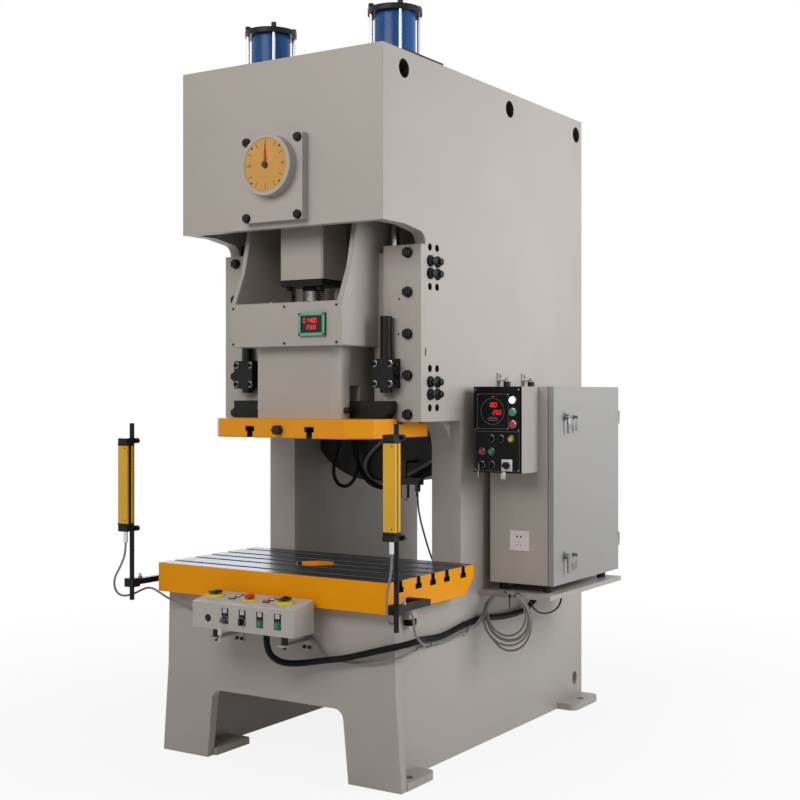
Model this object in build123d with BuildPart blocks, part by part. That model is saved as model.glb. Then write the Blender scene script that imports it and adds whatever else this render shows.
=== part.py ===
from build123d import *
from math import acos, asin, cos, pi, radians, sin, tan
import os

os.makedirs("parts", exist_ok=True)

# An open-front mechanical stamping press, in millimetres: X to the right, Y to the back, Z up.
# The origin is on the floor, in the middle of the four anchor bolts. Depths are given as the
# distance behind the head's front face, and behind() turns one into a Y.

# Frame
frame_width = 1008
frame_height = 2854
frame_depth = 1800
side_thickness = 50
front_thickness = 40
crown_thickness = 35
head_bottom = 2175
head_fillet = 45
head_fillet_drop = 22.5
top_corner_radius = 50
jaw_front = 312
jaw_bottom = 1395
throat_back = 595
throat_radius = 120
bed_top = 680
bed_thickness = 50
rib_inner = 170
rib_thickness = 30
rib_bottom = 330
rear_tie_inset = 20
rear_tie_thickness = 40
rear_tie_z = (150, 560)
flange_width = 90
flange_depth = 200
flange_top = jaw_bottom + 105
half_frame = frame_width / 2
half_inside = half_frame - side_thickness
crown_underside = frame_height - crown_thickness

# Lifting holes and guide screw holes in the side plates
lift_radius = 37.5
lift_drop = 73
rear_lift_inset = 64
lift_depths = (151, 1038, frame_depth - rear_lift_inset)
screw_depths = (347, 403)
screw_rows = (2044, 1994, 1556, 1506)
screw_hole_rows = (2100, 1941, 1610, 1451)
screw_hole_radius = 15
cable_slot_inset = 81
cable_slot_depth = frame_depth - cable_slot_inset
cable_slot_length = 68
cable_slot_width = 46
cable_slot_height = 111

# Base front plate and anchor feet
apron_front = -16
apron_back = apron_front + front_thickness
apron_margin_top = 61
apron_margin_waist = 67
apron_margin_bottom = 94
apron_half_top = half_frame + apron_margin_top
apron_half_waist = half_frame + apron_margin_waist
apron_half_bottom = half_frame + apron_margin_bottom
apron_flare_height = 368
arch_half_top = 327
arch_half_bottom = 355
arch_height = 284
arch_corner = 42
foot_thickness = 30
foot_margin = 96
foot_outer = half_frame + foot_margin
front_foot_inner = 340
front_foot_end = 240
rear_foot_length = 273
rear_foot_end = frame_depth - 5
rear_foot_start = rear_foot_end - rear_foot_length
foot_corner = 38
anchor_margin = 51
anchor_front_depth = 100
anchor_rear_inset = 140
anchor_spacing_x = frame_width + 2 * anchor_margin
anchor_spacing_y = frame_depth - anchor_front_depth - anchor_rear_inset
anchor_radius = 20
head_front = -anchor_spacing_y / 2 - anchor_front_depth

# Bolster
bolster_width = 1150
bolster_height = 120
bolster_front = -72
bolster_back = 578
bolster_hole_radius = 80
bed_hole_radius = 95
slot_throat = 28
slot_head = 46
slot_throat_depth = 26
slot_head_height = 20
slot_depths = (13, 145, 253, 361, 493)
bolster_cut_depth = 505
bolster_cut_rise = 65
bolster_top = bed_top + bolster_height
half_bolster = bolster_width / 2

# Slide and its stroke
stroke = 180
die_opening = 530
slide_center = 253
slide_bottom = bolster_top + die_opening
slide_flange_top = 1407
slide_notch_top = 1387
slideway_gap = 0.3
guide_width = 54
slide_half_width = half_inside - guide_width
slide_corner_width = 87
slide_half_front = slide_half_width - slide_corner_width
slide_front = 7
slide_corner_depth = 100
slide_back = 500
notch_width = 82
notch_half = slide_half_width - notch_width
notch_depth = 265
neck_inset = 187
neck_half = slide_half_width - neck_inset
neck_front = 100
neck_corner = 60
neck_top = 1700
deck_top = 1878
cover_front = 43
cover_thickness = 6
cover_drop = 6
cover_screw_radius = 5
cover_screw_head = 3
counter_inset = 72
counter_width = 129
counter_height = 93
counter_rise = 39
counter_depth = 10
shank_bolt_rise = 33
shank_bolt_radius = 21
shank_bolt_head = 26
knob_depth = 168
knob_rise = 34
knob_radius = 12.5
knob_length = 22
cheek_thickness = 22
wing_width = 120
cheek_half = slide_half_width - wing_width
cheek_top = 2228
cheek_slope = ((2015, 109), (2165, 145), (cheek_top, 158))
cheek_root = 20
cheek_heel = 4
wing_top = 2085
flange_land = 10
slide_slot_spacing = 300
shank_radius = 25
shank_depth = slide_flange_top - slide_bottom

# Gibs and guides
gib_thickness = 34
gib_width = 179
gib_inner = half_frame - gib_width
gib_top = 2108
gib_front = jaw_front - gib_thickness
gib_bolt_inset = 61
gib_bolt_x = half_frame - gib_bolt_inset
gib_bolt_rows = (2075, 1917, 1749, 1583, 1425)
gib_bolt_radius = 21
gib_bolt_head = 24
lock_nut_radius = 24
lock_nut_height = 14
set_screw_radius = 14
set_screw_end = 12
wing_depth = 120
keeper_depth = 38
keeper_width = 114
keeper_inner = half_inside - keeper_width
wing_front = jaw_front + slideway_gap
wing_back = wing_front + wing_depth
rail_inner = slide_half_width + slideway_gap
keeper_front = wing_back + slideway_gap

# Knock-out bar and its stops
bar_end_gap = 5
bar_half = slide_half_width - bar_end_gap
bar_front = 203
bar_depth = 64
bar_height = 72
bar_chamfer = 26
window_front = 200
window_depth = 70
window_top = 1540
stop_rod_inset = 32
stop_rod_x = gib_inner + stop_rod_inset
stop_rod_depth = 248
stop_rod_radius = 24
stop_rod_bottom = 1512
stop_rod_top = 1821
clamp_overhang = 17
clamp_width = 98
clamp_inner = gib_inner - clamp_overhang
clamp_outer = clamp_inner + clamp_width
clamp_bottom = 1530
clamp_top = 1649
clamp_front = 218

# Crankshaft and connecting rod
crank_height = 2417
throw = stroke / 2
running_clearance = 0.05
front_journal = 90
journal_room = 20
crankpin_radius = 105
web_gap = 6
web_radius = 130
web_thickness = 45
rod_center = 243
rod_depth = 181
rod_half = 109
rod_bottom = 1978
big_end_radius = 172
main_journal = 100
wall_front = 475
wall_thickness = 40
housing_front = 450
housing_back = 580
housing_radius = 165
pin_height = crank_height + throw
rod_front = rod_center - rod_depth / 2
rod_back = rod_center + rod_depth / 2
screw_radius = 46
ball_radius = 70
ball_height = 1790
lock_plate_thickness = 26
lock_plate_inset = 4
lock_bolt_inset = 31
lock_bolt_depth = 26
lock_bolt_radius = 15
lock_bolt_head = 18
pocket_lift = 22
pocket_margin = 6

# Gears
gear_module = 12
pressure_angle = 20
backlash = 0.7
gear_side_room = 60
gear_top_room = 8
gear_room = min(half_inside - gear_side_room, crown_underside - crank_height - gear_top_room)
gear_teeth = int(2 * gear_room / gear_module) - 2
pinion_teeth = 18
gear_front = 620
gear_width = 140
pinion_width = 130
shaft_radius = 45
shaft_boss_radius = 90
boss_length = 30
wall_below_shaft = 180
gear_web = 50
gear_rim = 60
gear_hub = 140
gear_hole_margin = 34
pitch_distance = gear_module * (gear_teeth + pinion_teeth) / 2
shaft_height = crank_height - pitch_distance
shaft_front = 452
shaft_back = 1600

# Flywheel, motor and belts
flywheel_room = 54
flywheel_radius = half_inside - flywheel_room
flywheel_rim = 70
flywheel_hub = 110
flywheel_front = 1400
flywheel_width = 150
belt_count = 4
belt_pitch = 27
belt_width = 17
belt_thickness = 12
belt_gap = 0.3
groove_depth = 11
first_belt = flywheel_front + 34
pulley_radius = 75
belt_drop = 116
motor_height = shaft_height - flywheel_radius - pulley_radius - belt_drop
motor_radius = 130
motor_body_length = 300
motor_end_cap = 12
fin_height = 8
motor_shaft_radius = 24
motor_axis_height = 150
shelf_top = motor_height - motor_axis_height
shelf_thickness = 20
shelf_front = 1030
shelf_back = 1385
rear_wall_front = 1240
rear_wall_thickness = 40

# Sheet guard in front of the drive
guard_front = 797
guard_depth = 200
guard_bottom = 1112
guard_top = 1700
guard_flat = 79
guard_corner = half_inside - guard_flat
guard_skin = 4

# Head front: bearing cover, dial and pointer
cover_half = 150
cover_bottom = 2197
cover_top = 2540
cover_plate = 38
cover_bolt_inset = 22
cover_bolt_rows = (cover_bottom + 19, cover_top - 18)
cover_bolt_radius = 18
cover_bolt_head = 15
drum_radius = 122
drum_front = -83
journal_front = -60
dial_radius = 106
dial_thickness = 5
dial_inset = 2
dial_gap = 0.5
pointer_length = 84
pointer_half = 5
pointer_tail = 14
pointer_shoulder = 20
pointer_thickness = 3
pointer_hub = 12
spindle_radius = 8
spindle_length = 35

# Balance cylinders
cylinder_inset = 131
cylinder_x = half_inside - cylinder_inset
cylinder_depth = 368
barrel_radius = 85
barrel_wall = 8
barrel_end_wall = 20
cylinder_sink = 58
cylinder_rise = 235
cylinder_bottom = frame_height - cylinder_sink
cylinder_top = frame_height + cylinder_rise
top_flange_radius = 113
top_flange_thickness = 22
base_half = 145
base_thickness = 25
tie_rod_radius = 7
tie_rod_circle = 100
tie_nut_radius = 12
tie_nut_height = 20
balance_rod_radius = 20
piston_thickness = 30
piston_drop = 61
piston_height = cylinder_top - piston_drop


def behind(distance):
    """The Y of a depth measured back from the head's front face."""
    return head_front + distance


def across(distance):
    """The upright plane at a depth: X and Z in the sketch, extruding to the front."""
    return Plane.XZ.offset(-behind(distance))


def beside(x):
    """The upright plane at an X: Y and Z in the sketch, extruding to the right."""
    return Plane.YZ.offset(x)


def level(z):
    """The horizontal plane at a height, extruding upwards."""
    return Plane.XY.offset(z)


def block(x, depth, z, mode=Mode.ADD):
    """A rectangular plate or block between two X, two depths and two heights."""
    with Locations((x[0], behind(depth[0]), z[0])):
        Box(x[1] - x[0], depth[1] - depth[0], z[1] - z[0], align=Align.MIN, mode=mode)


def rod(direction, start, radius, length, mode=Mode.ADD):
    """A round bar or hole that runs from its start (X, depth, Z) along X, Y or Z."""
    turn = {"X": (0, 90, 0), "Y": (-90, 0, 0), "Z": (0, 0, 0)}[direction]
    x, depth, z = start
    with Locations(Location((x, behind(depth), z), turn)):
        Cylinder(radius, length, align=(Align.CENTER, Align.CENTER, Align.MIN), mode=mode)


def finish(piece, name):
    """Label a finished piece and write it."""
    piece.part.label = name
    export_step(piece.part, f"parts/{name}.step")


def finish_group(solids, name):
    """Label and write several separate solids that share a node."""
    group = Compound(children=solids, label=name)
    export_step(group, f"parts/{name}.step")


# Side plates: one C-shaped plate each side, with the head's underside curling into the jaw
def side_plate(name, inner_x):
    outline = [
        (behind(front_thickness), head_bottom),
        (behind(jaw_front / 2), head_bottom),
        (behind(jaw_front), head_bottom - head_fillet_drop),
        (behind(jaw_front), jaw_bottom),
        (behind(throat_back), jaw_bottom),
        (behind(throat_back), bed_top - bed_thickness),
        (behind(apron_back), bed_top - bed_thickness),
        (behind(apron_back), 0),
        (behind(frame_depth), 0),
        (behind(frame_depth), frame_height),
        (behind(front_thickness), frame_height),
    ]
    with BuildPart() as plate:
        with BuildSketch(beside(inner_x)) as profile:
            with BuildLine():
                Polyline(*outline, close=True)
            make_face()
            corners = profile.vertices()
            fillet(corners.sort_by_distance((*outline[2], 0))[0], head_fillet)
            fillet(corners.sort_by_distance((*outline[4], 0))[0], throat_radius)
            fillet(corners.sort_by_distance((*outline[9], 0))[0], top_corner_radius)
            with Locations([(behind(depth), frame_height - lift_drop) for depth in lift_depths]):
                Circle(lift_radius, mode=Mode.SUBTRACT)
            screw_holes = [(behind(depth), z) for depth in screw_depths for z in screw_hole_rows]
            with Locations(screw_holes):
                Circle(screw_hole_radius, mode=Mode.SUBTRACT)
            with Locations((behind(cable_slot_depth), cable_slot_height)):
                SlotOverall(cable_slot_length, cable_slot_width, rotation=90, mode=Mode.SUBTRACT)
        extrude(amount=side_thickness)
    finish(plate, name)


side_plate("left_side_plate", -half_frame)
side_plate("right_side_plate", half_inside)

# Head front plate, bored for the front bearing
with BuildPart() as head_front_plate:
    block((-half_frame, half_frame), (0, front_thickness), (head_bottom, frame_height))
    rod("Y", (0, 0, crank_height), front_journal + journal_room, front_thickness, Mode.SUBTRACT)
finish(head_front_plate, "head_front_plate")

# Base front plate: straight under the bed, flared at the legs, with the arch between them
with BuildPart() as base_front_plate:
    with BuildSketch(across(apron_back)) as apron:
        with BuildLine():
            Polyline(
                (-apron_half_top, bed_top),
                (-apron_half_waist, apron_flare_height),
                (-apron_half_bottom, 0),
                (-arch_half_bottom, 0),
                (-arch_half_top, arch_height),
                (arch_half_top, arch_height),
                (arch_half_bottom, 0),
                (apron_half_bottom, 0),
                (apron_half_waist, apron_flare_height),
                (apron_half_top, bed_top),
                close=True,
            )
        make_face()
        for side in (-1, 1):
            arch_point = (side * arch_half_top, arch_height, 0)
            fillet(apron.vertices().sort_by_distance(arch_point)[0], arch_corner)
    extrude(amount=front_thickness)
finish(base_front_plate, "base_front_plate")

# Plates welded between the sides: crown, bearing walls, motor shelf, bed, ribs, rear tie, and the
# flanges that thicken the columns beside the throat
with BuildPart() as cross_plates:
    between = (-half_inside, half_inside)
    block(between, (front_thickness, frame_depth - top_corner_radius), (crown_underside, frame_height))
    for side in (-1, 1):
        rod("Z", (side * cylinder_x, cylinder_depth, crown_underside), barrel_radius,
            crown_thickness, Mode.SUBTRACT)
    wall_back = wall_front + wall_thickness
    wall_z = (shaft_height - wall_below_shaft, crown_underside)
    block(between, (wall_front, wall_back), wall_z)
    rod("Y", (0, housing_front, crank_height), housing_radius, housing_back - housing_front)
    rod("Y", (0, housing_front, shaft_height), shaft_boss_radius, housing_back - housing_front)
    rod("Y", (0, housing_front, crank_height), main_journal + running_clearance,
        housing_back - housing_front, Mode.SUBTRACT)
    rod("Y", (0, housing_front, shaft_height), shaft_radius + running_clearance,
        housing_back - housing_front, Mode.SUBTRACT)
    rear_wall = (rear_wall_front, rear_wall_front + rear_wall_thickness)
    block(between, rear_wall, wall_z)
    boss_front = rear_wall_front - boss_length
    rod("Y", (0, boss_front, shaft_height), shaft_boss_radius, rear_wall_thickness + 2 * boss_length)
    rod("Y", (0, boss_front, shaft_height), shaft_radius + running_clearance,
        rear_wall_thickness + 2 * boss_length, Mode.SUBTRACT)
    block(between, (shelf_front, shelf_back), (shelf_top - shelf_thickness, shelf_top))
    block((-half_frame, half_frame), (apron_back, throat_back), (bed_top - bed_thickness, bed_top))
    rod("Z", (0, slide_center, bed_top - bed_thickness), bed_hole_radius, bed_thickness, Mode.SUBTRACT)
    for side in (-1, 1):
        rib = sorted((side * rib_inner, side * (rib_inner + rib_thickness)))
        block(rib, (apron_back, throat_back), (rib_bottom, bed_top - bed_thickness))
    tie_back = frame_depth - rear_tie_inset
    block(between, (tie_back - rear_tie_thickness, tie_back), rear_tie_z)
    for start in (-half_inside, half_inside - flange_width):
        with BuildSketch(beside(start)) as flange:
            with BuildLine():
                Polyline(
                    (behind(throat_back), bed_top - bed_thickness),
                    (behind(throat_back), jaw_bottom),
                    (behind(throat_back - throat_radius), jaw_bottom),
                    (behind(throat_back - throat_radius), flange_top),
                    (behind(throat_back + flange_depth), flange_top),
                    (behind(throat_back + flange_depth), bed_top - bed_thickness),
                    close=True,
                )
            make_face()
            throat_corner = (behind(throat_back), jaw_bottom, 0)
            fillet(flange.vertices().sort_by_distance(throat_corner)[0], throat_radius - 0.5)
        extrude(amount=flange_width)
finish(cross_plates, "cross_plates")

# Anchor feet with one bolt hole each
with BuildPart() as anchor_feet:
    foot_boxes = [
        ((front_foot_inner, foot_outer), (apron_back, front_foot_end)),
        ((half_frame, foot_outer), (rear_foot_start, rear_foot_end)),
    ]
    for x_range, depth_range in foot_boxes:
        block(x_range, depth_range, (0, foot_thickness))
    outer_edges = anchor_feet.edges().filter_by(Axis.Z).group_by(Axis.X)[-1]
    fillet(outer_edges.sort_by(Axis.Y)[1:], foot_corner)
    block((half_inside, half_frame), (apron_back, front_foot_end), (0, foot_thickness), Mode.SUBTRACT)
    for y in (-anchor_spacing_y / 2, anchor_spacing_y / 2):
        with Locations((anchor_spacing_x / 2, y, 0)):
            Cylinder(anchor_radius, 3 * foot_thickness, mode=Mode.SUBTRACT)
    mirror(about=Plane.YZ)
finish(anchor_feet, "anchor_feet")

# Bolster: a thick plate with T-slots across it and a drop hole in the middle
with BuildPart() as bolster:
    with BuildSketch(beside(-half_bolster)):
        with BuildLine():
            Polyline(
                (behind(bolster_front), bed_top),
                (behind(bolster_cut_depth), bed_top),
                (behind(bolster_back), bed_top + bolster_cut_rise),
                (behind(bolster_back), bolster_top),
                (behind(bolster_front), bolster_top),
                close=True,
            )
        make_face()
        slot_head_center = bolster_top - slot_throat_depth - slot_head_height / 2
        with Locations([(behind(depth), slot_head_center) for depth in slot_depths]):
            Rectangle(slot_head, slot_head_height, mode=Mode.SUBTRACT)
        with Locations([(behind(depth), bolster_top - slot_throat_depth / 2) for depth in slot_depths]):
            Rectangle(slot_throat, slot_throat_depth, mode=Mode.SUBTRACT)
    extrude(amount=bolster_width)
    rod("Z", (0, slide_center, bed_top), bolster_hole_radius, bolster_height, Mode.SUBTRACT)
finish(bolster, "bolster")

# Gibs: a plate bolted to the front edge of each side plate, and behind it the side rail and the
# rear keeper that the slide's wing runs against
with BuildPart() as gib_plate:
    block((gib_inner, half_frame), (gib_front, jaw_front), (jaw_bottom, gib_top))
with BuildPart() as gib_rail:
    block((rail_inner, half_inside), (jaw_front, keeper_front), (jaw_bottom, gib_top))
    block((keeper_inner, half_inside), (keeper_front, keeper_front + keeper_depth), (jaw_bottom, gib_top))
right_gibs = [gib_plate.part.solid(), gib_rail.part.solid()]
finish_group(right_gibs + [gib.mirror(Plane.YZ) for gib in right_gibs], "gibs")

# Black hex bolts: heads on the gib plates, the side plates, the bearing cover and the crown
with BuildPart() as frame_bolts:
    with BuildSketch(across(gib_front)):
        with Locations([(gib_bolt_x, z) for z in gib_bolt_rows]):
            RegularPolygon(gib_bolt_radius, 6)
    extrude(amount=gib_bolt_head)
    with BuildSketch(beside(half_frame)):
        with Locations([(behind(depth), z) for depth in screw_depths for z in screw_rows]):
            RegularPolygon(lock_nut_radius, 6)
    extrude(amount=lock_nut_height)
    for depth in screw_depths:
        for z in screw_rows:
            rod("X", (half_frame + lock_nut_height, depth, z), set_screw_radius, set_screw_end)
    mirror(about=Plane.YZ)
    with BuildSketch(across(-cover_plate)):
        cover_bolt_x = cover_half - cover_bolt_inset
        with Locations([(x, z) for x in (-cover_bolt_x, cover_bolt_x) for z in cover_bolt_rows]):
            RegularPolygon(cover_bolt_radius, 6)
    extrude(amount=cover_bolt_head)
finish(frame_bolts, "frame_bolts")

# Bearing cover: a square plate with the drum that closes the crankshaft's front bearing
with BuildPart() as bearing_cover:
    block((-cover_half, cover_half), (-cover_plate, 0), (cover_bottom, cover_top))
    rod("Y", (0, drum_front, crank_height), drum_radius, -drum_front - cover_plate)
    bore_front = journal_front - dial_inset
    rod("Y", (0, bore_front, crank_height), front_journal + running_clearance, -bore_front, Mode.SUBTRACT)
    rod("Y", (0, drum_front, crank_height), dial_radius + dial_gap, dial_thickness + dial_inset,
        Mode.SUBTRACT)
    rod("Y", (0, drum_front, crank_height), spindle_radius, spindle_length, Mode.SUBTRACT)
finish(bearing_cover, "bearing_cover")

# Dial plate, let into the drum's face
with BuildPart() as dial_plate:
    rod("Y", (0, drum_front + dial_inset, crank_height), dial_radius, dial_thickness)
    rod("Y", (0, drum_front + dial_inset, crank_height), spindle_radius, dial_thickness, Mode.SUBTRACT)
finish(dial_plate, "dial_plate")

# Dial pointer on its spindle, turned by the crankshaft
with BuildPart() as dial_pointer:
    with BuildSketch(across(drum_front - 1)):
        with BuildLine():
            Polyline(
                (-pointer_half, crank_height - pointer_tail),
                (pointer_half, crank_height - pointer_tail),
                (pointer_half, crank_height + pointer_shoulder),
                (0, crank_height + pointer_length),
                (-pointer_half, crank_height + pointer_shoulder),
                close=True,
            )
        make_face()
    extrude(amount=pointer_thickness)
    rod("Y", (0, drum_front - 8, crank_height), pointer_hub, 7)
    rod("Y", (0, drum_front - 2, crank_height), spindle_radius - running_clearance, spindle_length)
finish(dial_pointer, "dial_pointer")

# Crankshaft: journals on the axis, two webs and the crankpin above it at the top of the stroke
with BuildPart() as crankshaft:
    web_front = rod_front - web_gap - web_thickness
    web_back = rod_back + web_gap
    rod("Y", (0, journal_front, crank_height), front_journal, web_front - journal_front)
    for start in (web_front, web_back):
        with BuildSketch(across(start + web_thickness)):
            with Locations((0, crank_height)):
                Circle(web_radius)
            with Locations((0, pin_height)):
                Circle(web_radius)
            make_hull()
        extrude(amount=web_thickness)
    rod("Y", (0, web_front, pin_height), crankpin_radius, web_back - web_front)
    rod("Y", (0, web_back, crank_height), main_journal, housing_back + 10 - web_back)
    rod("Y", (0, housing_back, crank_height), main_journal - 15,
        gear_front + gear_width + 20 - housing_back)
    rod("Y", (0, journal_front, crank_height), spindle_radius, 22, Mode.SUBTRACT)
finish(crankshaft, "crankshaft")


def gear_outline(teeth, first_tooth):
    """The points of an involute gear's outline, with its first tooth at an angle in degrees."""
    pitch_radius = gear_module * teeth / 2
    base_radius = pitch_radius * cos(radians(pressure_angle))
    tip_radius = pitch_radius + gear_module
    root_radius = pitch_radius - 1.25 * gear_module
    pitch_half = (pi * gear_module / 2 - backlash) / 2 / pitch_radius
    involute_at_pitch = tan(radians(pressure_angle)) - radians(pressure_angle)
    points = []
    for tooth in range(teeth):
        middle = radians(first_tooth + 360 * tooth / teeth)
        flank = []
        for radius in (root_radius, pitch_radius, tip_radius):
            roll = acos(min(base_radius / radius, 1))
            half = pitch_half + involute_at_pitch - (tan(roll) - roll)
            flank.append((radius, half))
        for radius, half in flank:
            points.append((radius * cos(middle - half), radius * sin(middle - half)))
        for radius, half in reversed(flank):
            points.append((radius * cos(middle + half), radius * sin(middle + half)))
    return points


# Main gear, keyed to the crankshaft, with a thin web
with BuildPart() as main_gear:
    with BuildSketch(across(gear_front + gear_width)):
        with Locations((0, crank_height)):
            with BuildLine():
                Polyline(*[(x, z + crank_height) for x, z in gear_outline(gear_teeth, -90)], close=True)
            make_face()
    extrude(amount=gear_width)
    recess = (gear_width - gear_web) / 2
    rim_inner = gear_module * gear_teeth / 2 - gear_rim
    for start in (gear_front, gear_front + gear_width - recess):
        with BuildSketch(across(start + recess)):
            with Locations((0, crank_height)):
                Circle(rim_inner)
                Circle(gear_hub, mode=Mode.SUBTRACT)
        extrude(amount=recess, mode=Mode.SUBTRACT)
    rod("Y", (0, gear_front, crank_height), main_journal - 15, gear_width, Mode.SUBTRACT)
    with BuildSketch(across(gear_front + gear_width)):
        with Locations((0, crank_height)):
            with PolarLocations((rim_inner + gear_hub) / 2, 6):
                Circle((rim_inner - gear_hub) / 2 - gear_hole_margin)
    extrude(amount=gear_width, mode=Mode.SUBTRACT)
finish(main_gear, "main_gear")

# Connecting rod: the big end on the crankpin and the square body below it
with BuildPart() as connecting_rod:
    with BuildSketch(across(rod_back)):
        with Locations((0, pin_height)):
            Circle(big_end_radius)
        with Locations((0, (rod_bottom + pin_height) / 2)):
            Rectangle(2 * rod_half, pin_height - rod_bottom)
        with Locations((0, pin_height)):
            Circle(crankpin_radius + running_clearance, mode=Mode.SUBTRACT)
    extrude(amount=rod_depth)
    upright_edges = connecting_rod.edges().filter_by(Axis.Z)
    chamfer(upright_edges, 8)
finish(connecting_rod, "connecting_rod")

# Ball screw under the rod, with its lock plate
with BuildPart() as ball_screw:
    plate_bottom = rod_bottom - lock_plate_thickness
    plate_half = rod_half - lock_plate_inset
    plate_depths = (rod_front + lock_plate_inset, rod_back - lock_plate_inset)
    block((-plate_half, plate_half), plate_depths, (plate_bottom, rod_bottom))
    rod("Z", (0, rod_center, ball_height), screw_radius, plate_bottom - ball_height)
    with Locations((0, behind(rod_center), ball_height)):
        Sphere(ball_radius)
    for side in (-1, 1):
        with BuildSketch(level(plate_bottom)):
            bolt_place = (side * (rod_half - lock_bolt_inset), behind(rod_front + lock_bolt_depth))
            with Locations(bolt_place):
                RegularPolygon(lock_bolt_radius, 6)
        extrude(amount=-lock_bolt_head)
finish(ball_screw, "ball_screw")

# Slide: one casting, with the die flange, neck, head, cheeks and the wings that the gibs guide
with BuildPart() as slide:
    with BuildSketch(level(slide_bottom)):
        with BuildLine():
            Polyline(
                (-slide_half_front, behind(slide_front)),
                (slide_half_front, behind(slide_front)),
                (slide_half_width, behind(slide_corner_depth)),
                (slide_half_width, behind(slide_back)),
                (-slide_half_width, behind(slide_back)),
                (-slide_half_width, behind(slide_corner_depth)),
                close=True,
            )
        make_face()
    extrude(amount=slide_flange_top - slide_bottom)
    for side in (-1, 1):
        notch = sorted((side * notch_half, side * (slide_half_width + 1)))
        block(notch, (notch_depth, slide_back), (slide_notch_top, slide_flange_top), Mode.SUBTRACT)
        wing = sorted((side * (cheek_half - cheek_thickness), side * slide_half_width))
        block(wing, (wing_front, wing_back), (slide_bottom + flange_land, wing_top))
    with BuildSketch(level(slide_bottom + flange_land)) as neck:
        with Locations((0, behind((neck_front + wing_back) / 2))):
            Rectangle(2 * neck_half, wing_back - neck_front)
        front_corners = neck.vertices().group_by(Axis.Y)[0]
        fillet(front_corners, neck_corner)
    extrude(amount=neck_top - slide_bottom)
    head_start = cover_front + cover_thickness
    block((-cheek_half, cheek_half), (head_start, wing_back), (neck_top, deck_top))
    for side in (-1, 1):
        with BuildSketch(beside(side * (cheek_half - cheek_thickness / 2))):
            with BuildLine():
                Polyline(
                    (behind(head_start), deck_top - cheek_root),
                    (behind(head_start), deck_top + cheek_heel),
                    *[(behind(depth), z) for z, depth in cheek_slope],
                    (behind(wing_back), cheek_top),
                    (behind(wing_back), deck_top - cheek_root),
                    close=True,
                )
            make_face()
        extrude(amount=cheek_thickness / 2, both=True)
    pocket_left = ball_radius + pocket_margin
    pocket_right = ball_radius + throw + pocket_margin
    pocket_half = ball_radius + pocket_margin + 2
    pocket_depths = (rod_center - pocket_half, rod_center + pocket_half)
    block((-pocket_left, pocket_right), pocket_depths,
          (ball_height - ball_radius - pocket_lift, deck_top), Mode.SUBTRACT)
    window = (window_front, window_front + window_depth)
    block((-neck_half, neck_half), window, (slide_flange_top, window_top), Mode.SUBTRACT)
    for x in (-slide_slot_spacing / 2, slide_slot_spacing / 2):
        block((x - slot_throat / 2, x + slot_throat / 2), (slide_front, slide_back),
              (slide_bottom, slide_bottom + slot_throat_depth), Mode.SUBTRACT)
        slot_roof = slide_bottom + slot_throat_depth + slot_head_height
        block((x - slot_head / 2, x + slot_head / 2), (slide_front, slide_back),
              (slide_bottom + slot_throat_depth, slot_roof), Mode.SUBTRACT)
    rod("Z", (0, slide_center, slide_bottom), shank_radius, shank_depth, Mode.SUBTRACT)
finish(slide, "slide")

# Slide cover with the stroke counter let into it, small screws, shank bolt and bar knobs
with BuildPart() as slide_cover:
    cover_z = (neck_top, deck_top - cover_drop)
    block((-cheek_half, cheek_half), (cover_front, cover_front + cover_thickness), cover_z)
    counter_right = cheek_half - counter_inset
    counter_x = (counter_right - counter_width, counter_right)
    counter_z = (neck_top + counter_rise, neck_top + counter_rise + counter_height)
    block(counter_x, (cover_front - counter_depth, cover_front), counter_z)
    for x in (-cheek_half + 15, 0, cheek_half - 22):
        for z in (cover_z[0] + 12, cover_z[1] - 12):
            rod("Y", (x, cover_front - cover_screw_head, z), cover_screw_radius, cover_screw_head)

with BuildPart() as slide_bolts:
    with BuildSketch(across(slide_front)):
        with Locations((0, slide_bottom + shank_bolt_rise)):
            RegularPolygon(shank_bolt_radius, 6)
    extrude(amount=shank_bolt_head)
    for side in (-1, 1):
        start = neck_half if side > 0 else -neck_half - knob_length
        rod("X", (start, knob_depth, slide_flange_top + knob_rise), knob_radius, knob_length)
finish_group([slide_cover.part.solid(), *slide_bolts.part.solids()], "slide_cover")

# Balance rods: a piston and rod each side, standing on the slide's wings
with BuildPart() as balance_rods:
    rod("Z", (cylinder_x, cylinder_depth, wing_top), balance_rod_radius, piston_height - wing_top)
    rod("Z", (cylinder_x, cylinder_depth, piston_height),
        barrel_radius - barrel_wall - running_clearance, piston_thickness)
    mirror(about=Plane.YZ)
finish(balance_rods, "balance_rods")

# Balance cylinders: barrel, square base on the crown, round top flange
with BuildPart() as balance_cylinders:
    center = (cylinder_x, cylinder_depth)
    rod("Z", (*center, cylinder_bottom), barrel_radius, cylinder_top - cylinder_bottom)
    rod("Z", (*center, cylinder_top - top_flange_thickness), top_flange_radius, top_flange_thickness)
    base_x = (cylinder_x - base_half, cylinder_x + base_half)
    base_depths = (cylinder_depth - base_half, cylinder_depth + base_half)
    block(base_x, base_depths, (frame_height, frame_height + base_thickness))
    chamber_bottom = cylinder_bottom + barrel_end_wall
    rod("Z", (*center, chamber_bottom), barrel_radius - barrel_wall,
        cylinder_top - top_flange_thickness - chamber_bottom, Mode.SUBTRACT)
    rod("Z", (*center, cylinder_bottom), balance_rod_radius + running_clearance, barrel_end_wall,
        Mode.SUBTRACT)
    mirror(about=Plane.YZ)

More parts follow.
